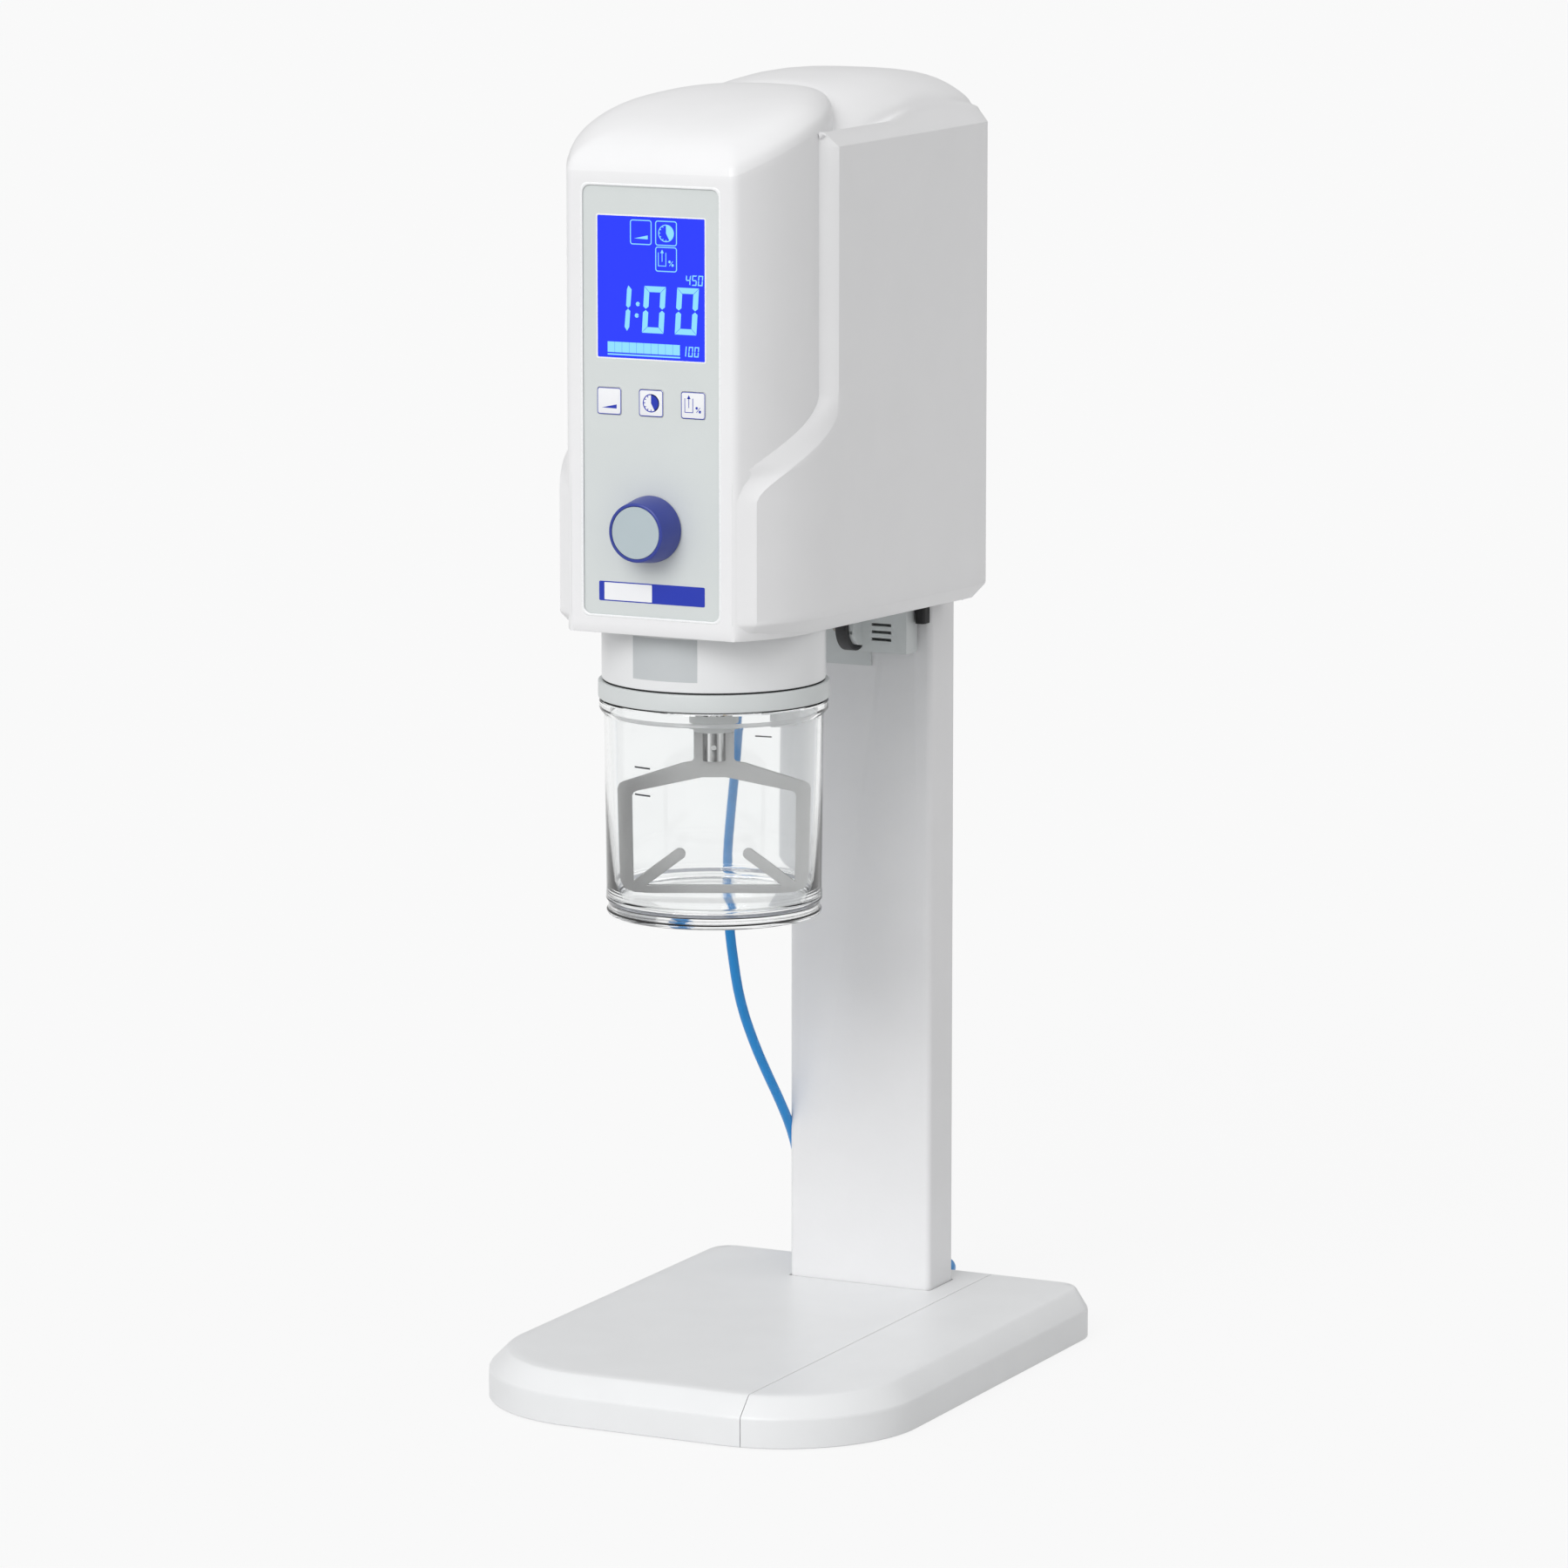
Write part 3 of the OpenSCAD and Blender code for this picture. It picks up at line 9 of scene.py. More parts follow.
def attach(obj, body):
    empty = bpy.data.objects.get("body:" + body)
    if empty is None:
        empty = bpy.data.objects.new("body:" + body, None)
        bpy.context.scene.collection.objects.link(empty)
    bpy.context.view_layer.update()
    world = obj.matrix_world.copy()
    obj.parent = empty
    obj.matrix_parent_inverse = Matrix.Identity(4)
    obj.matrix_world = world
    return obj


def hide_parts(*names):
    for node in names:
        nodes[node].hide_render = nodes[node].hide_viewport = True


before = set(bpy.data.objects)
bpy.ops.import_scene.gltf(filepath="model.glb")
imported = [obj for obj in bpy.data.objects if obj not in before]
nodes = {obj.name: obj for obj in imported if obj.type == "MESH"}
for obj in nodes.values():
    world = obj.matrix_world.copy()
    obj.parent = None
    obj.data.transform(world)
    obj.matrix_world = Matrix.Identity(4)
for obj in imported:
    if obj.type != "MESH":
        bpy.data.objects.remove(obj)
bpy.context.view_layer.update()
bpy.ops.object.select_all(action="DESELECT")

MM = 0.001
FACE_Y = -156.0


def at(x, d, z):
    """A point in millimetres, d counted back from the head's face, as metres in the row frame."""
    return Vector((x * MM, (FACE_Y + d) * MM, z * MM))


# Camera, at the photograph's viewing angle
CAMERA_PLACE = (1909.0, -3689.8, 1081.7)
CAMERA_YAW = 26.323
CAMERA_PITCH = 9.62
CAMERA_FOCUS_PX = 8537.0
PHOTO_PX = 1800.0
SENSOR = 36.0


def add_camera():
    data = bpy.data.cameras.new("photo_camera")
    data.sensor_width = SENSOR
    data.lens = CAMERA_FOCUS_PX / PHOTO_PX * SENSOR
    data.clip_start = 0.1
    data.clip_end = 30.0
    camera = bpy.data.objects.new("photo_camera", data)
    bpy.context.collection.objects.link(camera)
    camera.location = at(*CAMERA_PLACE)
    camera.rotation_euler = (math.radians(90.0 - CAMERA_PITCH), 0.0, math.radians(CAMERA_YAW))
    bpy.context.scene.camera = camera


add_camera()


# Materials
def linear(value):
    value = value / 255.0
    if value <= 0.04045:
        return value / 12.92
    return ((value + 0.055) / 1.055) ** 2.4


def colour(r, g, b):
    return (linear(r), linear(g), linear(b), 1.0)


def finish(name, tone, rough, metal=0.0, grain=0.0, grain_size=900.0, tint=0.02, tint_size=30.0,
           rough_change=0.05, coat=0.0, stretch=(1.0, 1.0, 1.0), glow=None):
    """A finish with a slow change of tone, a change of roughness and a fine relief."""
    material = bpy.data.materials.new(name)
    material.use_nodes = True
    tree = material.node_tree
    shader = tree.nodes["Principled BSDF"]
    place = tree.nodes.new("ShaderNodeTexCoord")
    turn = tree.nodes.new("ShaderNodeMapping")
    turn.inputs["Scale"].default_value = stretch
    tree.links.new(place.outputs["Object"], turn.inputs["Vector"])
    slow = tree.nodes.new("ShaderNodeTexNoise")
    slow.inputs["Scale"].default_value = tint_size
    slow.inputs["Detail"].default_value = 3.0
    tree.links.new(turn.outputs["Vector"], slow.inputs["Vector"])
    ramp = tree.nodes.new("ShaderNodeValToRGB")
    ramp.color_ramp.elements[0].position = 0.35
    ramp.color_ramp.elements[1].position = 0.65
    ramp.color_ramp.elements[0].color = [c * (1.0 - tint) for c in tone[:3]] + [1.0]
    ramp.color_ramp.elements[1].color = [min(1.0, c * (1.0 + tint * 0.5)) for c in tone[:3]] + [1.0]
    tree.links.new(slow.outputs["Fac"], ramp.inputs["Fac"])
    tree.links.new(ramp.outputs["Color"], shader.inputs["Base Color"])
    fine = tree.nodes.new("ShaderNodeTexNoise")
    fine.inputs["Scale"].default_value = grain_size
    fine.inputs["Detail"].default_value = 4.0
    tree.links.new(turn.outputs["Vector"], fine.inputs["Vector"])
    spread = tree.nodes.new("ShaderNodeMapRange")
    spread.inputs["To Min"].default_value = max(0.02, rough - rough_change)
    spread.inputs["To Max"].default_value = min(1.0, rough + rough_change)
    tree.links.new(fine.outputs["Fac"], spread.inputs["Value"])
    tree.links.new(spread.outputs["Result"], shader.inputs["Roughness"])
    if grain > 0.0:
        relief = tree.nodes.new("ShaderNodeBump")
        relief.inputs["Strength"].default_value = grain
        relief.inputs["Distance"].default_value = 0.0002
        tree.links.new(fine.outputs["Fac"], relief.inputs["Height"])
        tree.links.new(relief.outputs["Normal"], shader.inputs["Normal"])
    shader.inputs["Metallic"].default_value = metal
    shader.inputs["Coat Weight"].default_value = coat
    if glow is not None:
        shader.inputs["Emission Color"].default_value = glow
        shader.inputs["Emission Strength"].default_value = 1.0
    return material


def paint_light_bands(material, painted_tones, reach):
    """Painted bright and dark bands across a piece's width in millimetres: painted reflections on a polished
    piece, painted shade and light on a matte one.
    """
    tree = material.node_tree
    place = tree.nodes.new("ShaderNodeTexCoord")
    apart = tree.nodes.new("ShaderNodeSeparateXYZ")
    tree.links.new(place.outputs["Object"], apart.inputs["Vector"])
    across = tree.nodes.new("ShaderNodeMapRange")
    across.inputs["From Min"].default_value = -reach * MM
    across.inputs["From Max"].default_value = reach * MM
    tree.links.new(apart.outputs["X"], across.inputs["Value"])
    ramp = tree.nodes.new("ShaderNodeValToRGB")
    ramp.color_ramp.elements[0].color = colour(painted_tones[0][1], painted_tones[0][1], painted_tones[0][1])
    ramp.color_ramp.elements[1].color = colour(painted_tones[-1][1], painted_tones[-1][1], painted_tones[-1][1])
    for share, tone in painted_tones[1:-1]:
        stop = ramp.color_ramp.elements.new(share)
        stop.color = colour(tone, tone, tone)
    tree.links.new(across.outputs["Result"], ramp.inputs["Fac"])
    tree.links.new(ramp.outputs["Color"], tree.nodes["Principled BSDF"].inputs["Base Color"])


def clear_finish(name, tone, rough, ior, tint_size=40.0):
    material = finish(name, tone, rough, tint=0.01, rough_change=0.015, tint_size=tint_size)
    shader = material.node_tree.nodes["Principled BSDF"]
    shader.inputs["Transmission Weight"].default_value = 1.0
    shader.inputs["IOR"].default_value = ior
    return material


SHELL = finish("white_moulded_shell", colour(238, 238, 239), 0.34, grain=0.12, grain_size=1400.0, tint=0.008)
LID = finish("white_moulded_lid", colour(236, 237, 238), 0.30, grain=0.08, grain_size=1400.0, tint=0.01)
COAT = finish("powder_coated_column", colour(236, 236, 237), 0.42, grain=0.30, grain_size=500.0, tint=0.01)
BASE = finish("white_moulded_base", colour(232, 233, 234), 0.36, grain=0.15, grain_size=1300.0, tint=0.012)
FOIL = finish("pale_front_foil", colour(214, 219, 218), 0.46, grain=0.25, grain_size=1800.0, tint=0.01)
RIM = finish("panel_rim", colour(244, 245, 246), 0.28, grain=0.05, tint=0.01)
PALE = finish("pale_grey_moulding", colour(213, 217, 217), 0.40, grain=0.15, grain_size=1200.0, tint=0.02)
GREY = finish("grey_moulding", colour(158, 160, 160), 0.42, grain=0.18, grain_size=1200.0, tint=0.03)
COLLAR = finish("light_grey_collar", colour(192, 194, 194), 0.42, grain=0.18, grain_size=1200.0, tint=0.03)
WARM = finish("warm_grey_moulding", colour(150, 143, 136), 0.45, grain=0.2, grain_size=1000.0, tint=0.05)
DARK = finish("black_moulding", colour(38, 38, 40), 0.45, grain=0.25, grain_size=900.0, tint=0.08)
RUBBER = finish("black_rubber", colour(30, 30, 31), 0.68, grain=0.4, grain_size=700.0, tint=0.12)
KNOB = finish("blue_knob", colour(42, 58, 148), 0.38, grain=0.2, grain_size=1500.0, tint=0.04)
CAP = finish("grey_knob_cap", colour(180, 193, 198), 0.42, grain=0.15, grain_size=1500.0, tint=0.02)
PRINT = finish("blue_print", colour(20, 48, 176), 0.40, grain=0.05, tint=0.02)
LABEL = finish("white_label", colour(244, 245, 247), 0.40, grain=0.05, tint=0.01)
LID_LABEL = finish("grey_label", colour(196, 200, 202), 0.40, grain=0.1, tint=0.02)
KEY = finish("white_key", colour(240, 241, 244), 0.36, grain=0.1, tint=0.01)
# Polished hub: its bright and dark bands are painted reflections.
HUB_PAINTED_REFLECTIONS = finish("polished_hub_painted_reflections", colour(128, 128, 130), 0.12, metal=1.0, grain=0.03, grain_size=300.0,
             stretch=(1.0, 1.0, 6.0), tint=0.08, rough_change=0.03)
paint_light_bands(HUB_PAINTED_REFLECTIONS, ((0.0, 60), (0.12, 60), (0.2, 190), (0.3, 130), (0.42, 80), (0.5, 235), (0.62, 150),
                   (0.75, 60), (0.85, 200), (1.0, 90)), 8.0)
STEEL = finish("turned_steel", colour(190, 190, 190), 0.28, metal=1.0, grain=0.10, grain_size=300.0,
               stretch=(1.0, 1.0, 14.0), tint=0.05, rough_change=0.08)
SHEET = finish("rolled_steel", colour(178, 180, 183), 0.38, metal=1.0, grain=0.12, grain_size=240.0,
               stretch=(1.0, 1.0, 10.0), tint=0.06, rough_change=0.1)
ALLOY = finish("turned_aluminium", colour(200, 201, 203), 0.34, metal=1.0, grain=0.1, grain_size=320.0,
               stretch=(1.0, 1.0, 12.0), tint=0.05, rough_change=0.08)
BRASS = finish("turned_brass", colour(201, 162, 84), 0.3, metal=1.0, grain=0.1, grain_size=300.0, tint=0.06)
BOARD = finish("circuit_board", colour(28, 92, 52), 0.45, grain=0.4, grain_size=350.0, tint=0.3,
               tint_size=160.0)
BELT = finish("drive_belt_rubber", colour(34, 34, 35), 0.62, grain=0.4, grain_size=600.0, tint=0.1)
# Grey paddle: darker on its left and lighter on its right, which is painted shade and light.
PADDLE_PAINTED_SHADE = finish("grey_paddle_painted_shade", colour(188, 188, 189), 0.40, grain=0.2, grain_size=900.0, tint=0.04)
paint_light_bands(PADDLE_PAINTED_SHADE, ((0.0, 128), (0.1, 132), (0.35, 178), (0.7, 190), (1.0, 200)), 58.0)
HOSE = finish("blue_hose", colour(0, 138, 214), 0.32, grain=0.1, grain_size=500.0, tint=0.06, tint_size=60.0)
LINE = finish("milky_line", colour(210, 226, 232), 0.3, grain=0.1, tint=0.04)
MARK = finish("dark_mark", colour(42, 45, 50), 0.5, tint=0.05)
GAP = finish("dark_gap", colour(26, 26, 28), 0.7, tint=0.05)
GLASS = clear_finish("clear_beaker", (0.97, 0.98, 0.98, 1.0), 0.03, 1.49)
# Painted shade: a dark clear finish for the groove round the beaker's foot.
PAINTED_GROOVE_SHADE = clear_finish("clear_beaker_groove_painted_shade", (0.16, 0.17, 0.20, 1.0), 0.15, 1.49)
LCD = finish("lit_display", (0.0, 0.0, 0.0, 1.0), 0.2, tint=0.0, glow=colour(0, 42, 255))
LIT = finish("lit_segment", (0.0, 0.0, 0.0, 1.0), 0.3, tint=0.0, glow=colour(142, 222, 255))


def clothe(material, *names):
    """Gives carried-over nodes a finish."""
    for name in names:
        mesh = nodes[name].data
        mesh.materials.clear()
        mesh.materials.append(material)


# Pieces
def ring_faces(rings, n):
    """Faces between rings of n points that follow each other."""
    faces = []
    for r in range(rings - 1):
        for i in range(n):
            j = (i + 1) % n
            faces.append((r * n + i, r * n + j, (r + 1) * n + j, (r + 1) * n + i))
    return faces


def loop_faces(steps, count):
    """Faces of a closed tube of steps sections with count points each."""
    faces = []
    for k in range(steps):
        n = (k + 1) % steps
        for i in range(count):
            j = (i + 1) % count
            faces.append((k * count + i, k * count + j, n * count + j, n * count + i))
    return faces


def piece(name, points, faces, material, body="stand", smooth=30.0, turn_out=True):
    """A mesh piece from points in millimetres."""
    mesh = bpy.data.meshes.new(name)
    mesh.from_pydata([at(*p) for p in points], [], faces)
    mesh.update()
    thing = bpy.data.objects.new(name, mesh)
    bpy.context.collection.objects.link(thing)
    if turn_out:
        bm = bmesh.new()
        bm.from_mesh(mesh)
        bmesh.ops.remove_doubles(bm, verts=bm.verts, dist=0.000002)
        bmesh.ops.recalc_face_normals(bm, faces=bm.faces)
        bm.to_mesh(mesh)
        bm.free()
    settle(thing, material, body, smooth)
    return thing


def pick(thing):
    bpy.ops.object.select_all(action="DESELECT")
    thing.select_set(True)
    bpy.context.view_layer.objects.active = thing


def settle(thing, material, body, smooth=30.0):
    thing.data.materials.clear()
    thing.data.materials.append(material)
    pick(thing)
    bpy.ops.object.shade_smooth_by_angle(angle=math.radians(smooth))
    thing.select_set(False)
    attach(thing, body)


def apply_all(thing):
    pick(thing)
    for modifier in list(thing.modifiers):
        bpy.ops.object.modifier_apply(modifier=modifier.name)
    thing.select_set(False)


def give_wall(thing, thickness):
    """Turns a skin into a wall, inwards, thickness in millimetres."""
    wall = thing.modifiers.new("wall", "SOLIDIFY")
    wall.thickness = thickness * MM
    wall.offset = -1.0
    apply_all(thing)


def box_tool(place, size):
    """A box for cutting, size in millimetres."""
    bpy.ops.mesh.primitive_cube_add(size=1.0, location=place)
    tool = bpy.context.active_object
    tool.scale = [side * MM for side in size]
    pick(tool)
    bpy.ops.object.transform_apply(location=True, rotation=True, scale=True)
    return tool


def cut_away(thing, tool):
    """Takes the tool's shape out of a piece, and removes the tool."""
    hole = thing.modifiers.new("hole", "BOOLEAN")
    hole.object = tool
    hole.operation = "DIFFERENCE"
    hole.solver = "EXACT"
    apply_all(thing)
    bpy.data.objects.remove(tool, do_unlink=True)


def soften(thing, width, segments=2, angle=35.0):
    """Rounds a piece's sharp edges, width in millimetres."""
    bevel = thing.modifiers.new("edge", "BEVEL")
    bevel.width = width * MM
    bevel.segments = segments
    bevel.limit_method = "ANGLE"
    bevel.angle_limit = math.radians(angle)
    apply_all(thing)


def softened(node, material, width, body="stand", segments=2, angle=35.0, smooth=40.0):
    """A copy of a carried-over node with its sharp edges rounded, which stands for it."""
    thing = nodes[node].copy()
    thing.data = nodes[node].data.copy()
    thing.name = "soft_" + node
    thing.parent = None
    thing.matrix_world = Matrix.Identity(4)
    bpy.context.collection.objects.link(thing)
    bm = bmesh.new()
    bm.from_mesh(thing.data)
    bmesh.ops.remove_doubles(bm, verts=bm.verts, dist=0.00001)
    bmesh.ops.dissolve_limit(bm, angle_limit=math.radians(1.0), verts=bm.verts, edges=bm.edges)
    bm.to_mesh(thing.data)
    bm.free()
    soften(thing, width, segments, angle)
    settle(thing, material, body, smooth)
    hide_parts(node)
    return thing


def turned(name, profile, material, x, d, body="stand", axis="Z", smooth=32.0, steps=160, replaces=()):
    """A turned piece: profile is a closed loop of (radius, height) in millimetres round an axis."""
    points = []
    faces = []
    count = len(profile)
    for k in range(steps):
        a = 2.0 * math.pi * k / steps
        for radius, height in profile:
            if axis == "Z":
                points.append((x + radius * math.cos(a), d + radius * math.sin(a), height))
            elif axis == "Y":
                points.append((x + radius * math.cos(a), height, d + radius * math.sin(a)))
            else:
                points.append((height, x + radius * math.cos(a), d + radius * math.sin(a)))
    for k in range(steps):
        n = (k + 1) % steps
        for i in range(count):
            j = (i + 1) % count
            if profile[i][0] < 0.001 and profile[j][0] < 0.001:
                continue
            faces.append((k * count + i, k * count + j, n * count + j, n * count + i))
    thing = piece(name, points, faces, material, body, smooth)
    if replaces:
        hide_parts(*replaces)
    return thing


def rounded_outline(w, h, r, steps=8):
    outline = []
    for cx, cz, start in ((w / 2 - r, h / 2 - r, 0), (r - w / 2, h / 2 - r, 90), (r - w / 2, r - h / 2, 180),
                          (w / 2 - r, r - h / 2, 270)):
        for k in range(steps + 1):
            a = math.radians(start + 90.0 * k / steps)
            outline.append((cx + r * math.cos(a), cz + r * math.sin(a)))
    return outline


def slab(name, outline, x, z, d0, d1, material, body="stand", edge=0.0, smooth=30.0):
    """A flat piece facing the operator, from an outline in millimetres, with d0 its front."""
    points = []
    n = len(outline)
    layers = [(d1, 0.0), (d0, 0.0)]
    if edge:
        layers = [(d1, 0.0), (d0 + edge, 0.0), (d0 + edge * 0.3, edge * 0.3), (d0, edge)]
    cx = sum(p[0] for p in outline) / n
    cz = sum(p[1] for p in outline) / n
    for d, inset in layers:
        for px, pz in outline:
            reach = max(1e-6, math.hypot(px - cx, pz - cz))
            points.append((x + px - (px - cx) / reach * inset, d, z + pz - (pz - cz) / reach * inset))
    faces = ring_faces(len(layers), n)
    faces.append(tuple(range(n - 1, -1, -1)))
    last = (len(layers) - 1) * n
    faces.append(tuple(last + i for i in range(n)))
    return piece(name, points, faces, material, body, smooth)


def frame_slab(name, w, h, r, line, x, z, d0, d1, material, body="stand"):
    """A thin flat frame round a rounded rectangle."""
    outer = rounded_outline(w, h, r)
    inner = rounded_outline(w - 2 * line, h - 2 * line, max(0.1, r - line))
    n = len(outer)
    points = []
    for d in (d0, d1):
        points += [(x + p[0], d, z + p[1]) for p in outer]
        points += [(x + p[0], d, z + p[1]) for p in inner]
    faces = []
    for i in range(n):
        j = (i + 1) % n
        faces.append((i, j, n + j, n + i))
        faces.append((2 * n + i, 3 * n + i, 3 * n + j, 2 * n + j))
        faces.append((i, 2 * n + i, 2 * n + j, j))
        faces.append((n + i, n + j, 3 * n + j, 3 * n + i))
    return piece(name, points, faces, material, body, 20.0)


def joined(name, things):
    pick(things[0])
    for thing in things:
        thing.select_set(True)
    bpy.ops.object.join()
    things[0].name = name
    things[0].select_set(False)
    return things[0]


# Sizes of the head, in millimetres, as the part's source has them
HALF_W = 77.0
HEAD_D = 288.0
HEAD_BOTTOM = 462.0
FALL = math.tan(math.radians(2.0))
SIDE_TOP = 735.4
CROWN_Z = 768.0
CROWN_Y = 225.0
BARREL_R = 467.0
CHAMFER = 8.6
OVAL_A = 69.0
OVAL_B = 96.0
OVAL_Y = 62.0
FACE_TOP = 726.5
RIM_RISE = 0.366
RIM_BEND = 0.00117
CAP_BULGE = 10.5
REAR_LIFT = 7.0
CAP_SHARES = (1.0, 0.9985, 0.995, 0.99, 0.983, 0.975, 0.963, 0.95, 0.935, 0.915, 0.89, 0.86, 0.82, 0.77,
              0.7, 0.6, 0.45, 0.3, 0.15, 0.05)
CREASE_Y = 75.0
SHOULDER_Y = 8.0
SHOULDER_IN = 14.5
SHOULDER_Z = 540.0
SHOULDER_H = 46.0
TUCK = 0.4
RIDGE_X = 70.2
RIDGE_Z = 743.4
RIDGE_FALL = 0.75
SLOPE_RISE = 1.26
SLOPE_DROP = 0.35
GROOVE_X = 66.6
GROOVE_W = 1.9
GROOVE_DEEP = 1.3
BEAD_UP = 0.5
BEAD_W = 1.3
VALLEY_UP = 0.6
VALLEY_RISE = 0.5
SHELL_WALL = 2.4
FRONT_WALL = 2.6
CAP_MIDDLE = 75.0
CROWN_FALL = 19.2
CROWN_X = 68.5
PANEL_W = 86.3
PANEL_H = 243.6
PANEL_Z = 472.6
AXIS_D = 78.0


def smooth_step(t):
    t = min(1.0, max(0.0, t))
    return t * t * (3.0 - 2.0 * t)


def bottom_z(y):
    return HEAD_BOTTOM - FALL * y


def rim_z(y):
    return FACE_TOP + RIM_RISE * y - RIM_BEND * y * y


def oval_x(y, grow=0.0):
    return (OVAL_A + grow) * math.sqrt(max(0.0, 1.0 - ((y - OVAL_Y) / (OVAL_B + grow)) ** 2))


def side_x(y):
    if y >= CREASE_Y:
        return HALF_W
    return HALF_W - SHOULDER_IN * ((CREASE_Y - y) / (CREASE_Y - SHOULDER_Y)) ** 2.3


def crease_in(z):
    return CREASE_Y * smooth_step((z - SHOULDER_Z - 11.5) / (SHOULDER_H - 2.0))


def crease_out(z):
    return SHOULDER_Y + (CREASE_Y + CHAMFER - SHOULDER_Y) * smooth_step((z - SHOULDER_Z) / SHOULDER_H)


def arch(x):
    return CROWN_FALL * (abs(x) / CROWN_X) ** 3.23


def barrel(x, y):
    radius = BARREL_R - arch(x)
    return CROWN_Z - BARREL_R + math.sqrt(radius * radius - (y - CROWN_Y) ** 2)


def soft_min(a, b, k):
    h = max(0.0, min(1.0, 0.5 + 0.5 * (b - a) / k))
    return b + (a - b) * h - k * h * (1.0 - h)


def soft_max(a, b, k):
    return -soft_min(-a, -b, k)


def lift(y):
    """How much higher the cap's rim runs towards the rear."""
    return REAR_LIFT * smooth_step((y - 105.0) / 50.0)


def cap_z(y_edge, y, share):
    """The cap's height: share is 1 at its rim and 0 at its middle."""
    up = lift(y_edge)
    round_off = 0.0 if share < 0.95 else 3.0 * ((share - 0.95) / 0.05) ** 3
    return rim_z(y) + up + ((1.0 - share ** 8) * CAP_BULGE - round_off) * (1.0 - up / CAP_BULGE)


def roof_z(x, y):
    """The rear shell's top: barrel, long slopes, and the valley behind the cap."""
    reach = max(1.0, math.hypot(x / OVAL_A, (y - OVAL_Y) / OVAL_B))
    edge_x = x / reach
    edge_y = OVAL_Y + (y - OVAL_Y) / reach
    away = math.hypot(x - edge_x, y - edge_y)
    valley = rim_z(edge_y) + lift(edge_y) + VALLEY_UP + VALLEY_RISE * away
    top = soft_min(barrel(x, y), valley, 5.0)
    bead = RIDGE_Z - RIDGE_FALL * (RIDGE_X - x)
    groove = GROOVE_DEEP * math.exp(-((x - GROOVE_X) / GROOVE_W) ** 2)
    top = soft_max(top - groove, bead, 0.8)
    slope = SIDE_TOP + SLOPE_RISE * (HALF_W - x) - SLOPE_DROP
    return soft_min(slope, top, 0.8) + BEAD_UP * math.exp(-((slope - top) / BEAD_W) ** 2)


def oval_outline():
    """The front shell's outline, round its oval, with soft edges to the flat face."""
    start = math.degrees(math.asin((0.0 - OVAL_Y) / OVAL_B))
    edge = 3.6
    outline = []
    count = 110
    for i in range(count + 1):
        a = math.radians(start + 3.0 + (180.0 - 2.0 * start - 6.0) * i / count)
        outline.append((OVAL_A * math.cos(a), OVAL_Y + OVAL_B * math.sin(a)))
    flat_x = oval_x(0.0)
    first = outline[0]
    corner = (flat_x, 0.0)
    toe = (flat_x - edge, 0.0)
    curve = []
    for k in range(1, 8):
        t = k / 8.0
        px = (1 - t) ** 2 * toe[0] + 2 * t * (1 - t) * corner[0] + t * t * first[0]
        py = (1 - t) ** 2 * toe[1] + 2 * t * (1 - t) * corner[1] + t * t * first[1]
        curve.append((px, py))
    flat = [toe[0] * (1.0 - 2.0 * k / 12.0) for k in range(13)]
    left = [(-px, py) for px, py in reversed(curve)]
    return outline + left + [(x, 0.0) for x in reversed(flat)] + curve


def front_shell_piece():
    outline = oval_outline()
    n = len(outline)
    lip = []
    for x, y in outline:
        lip_y = CAP_MIDDLE + (y - CAP_MIDDLE) * 0.994 if y > 1.0 else 0.5
        lip.append((x * 0.992, lip_y, bottom_z(y) + 0.2))
    rings = [lip, [(x, y, bottom_z(y) + 1.2) for x, y in outline]]
    for share in (0.02, 0.3, 0.6, 0.9, 0.99):
        rings.append([(x, y, bottom_z(y) + 1.2 + (rim_z(y) - 6.2 - bottom_z(y)) * share) for x, y in outline])
    for share in CAP_SHARES:
        ring = []
        for x, y in outline:
            inner_y = CAP_MIDDLE + (y - CAP_MIDDLE) * share
            ring.append((x * share, inner_y, cap_z(y, inner_y, share)))
        rings.append(ring)
    points = [p for ring in rings for p in ring]
    faces = ring_faces(len(rings), n)
    points.append((0.0, CAP_MIDDLE, rim_z(CAP_MIDDLE) + CAP_BULGE))
    top = len(points) - 1
    last = (len(rings) - 1) * n
    for i in range(n):
        faces.append((last + i, last + (i + 1) % n, top))
    shell = piece("front_shell_skin", points, faces, SHELL, smooth=180.0, turn_out=False)
    give_wall(shell, FRONT_WALL)
    cut = slab("panel_cut", rounded_outline(PANEL_W + 0.4, PANEL_H + 0.4, 4.2), 0.0,
               PANEL_Z + PANEL_H / 2, -8.0, 12.0, SHELL)
    cut_away(shell, cut)
    settle(shell, SHELL, "stand", 32.0)
    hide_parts("front_shell")
    return shell


REAR_ROWS_LOW = ((CHAMFER + 2.4, 0.0), (CHAMFER + 0.8, 0.0), (CHAMFER + 0.1, 0.3), (CHAMFER - 0.5, 0.95),
                 (0.8, 8.6), (0.25, 9.4), (0.0, 10.4))
REAR_ROWS_TOP = (76.9, 76.6, 76.0, 75.0, 73.0, 71.5, 70.4, 69.7, 68.9, 68.0, 67.3, 66.5, 65.7, 64.9, 64.0,
                 62.0, 59.0, 55.0, 50.0, 44.0, 37.0, 29.0, 20.0, 10.0, 0.0)
CORNER = 6.0
COLUMN_SLOT_PLACE = (0.0, 281.0, 560.0)
COLUMN_SLOT_SIZE = (95.0, 20.0, 267.0)


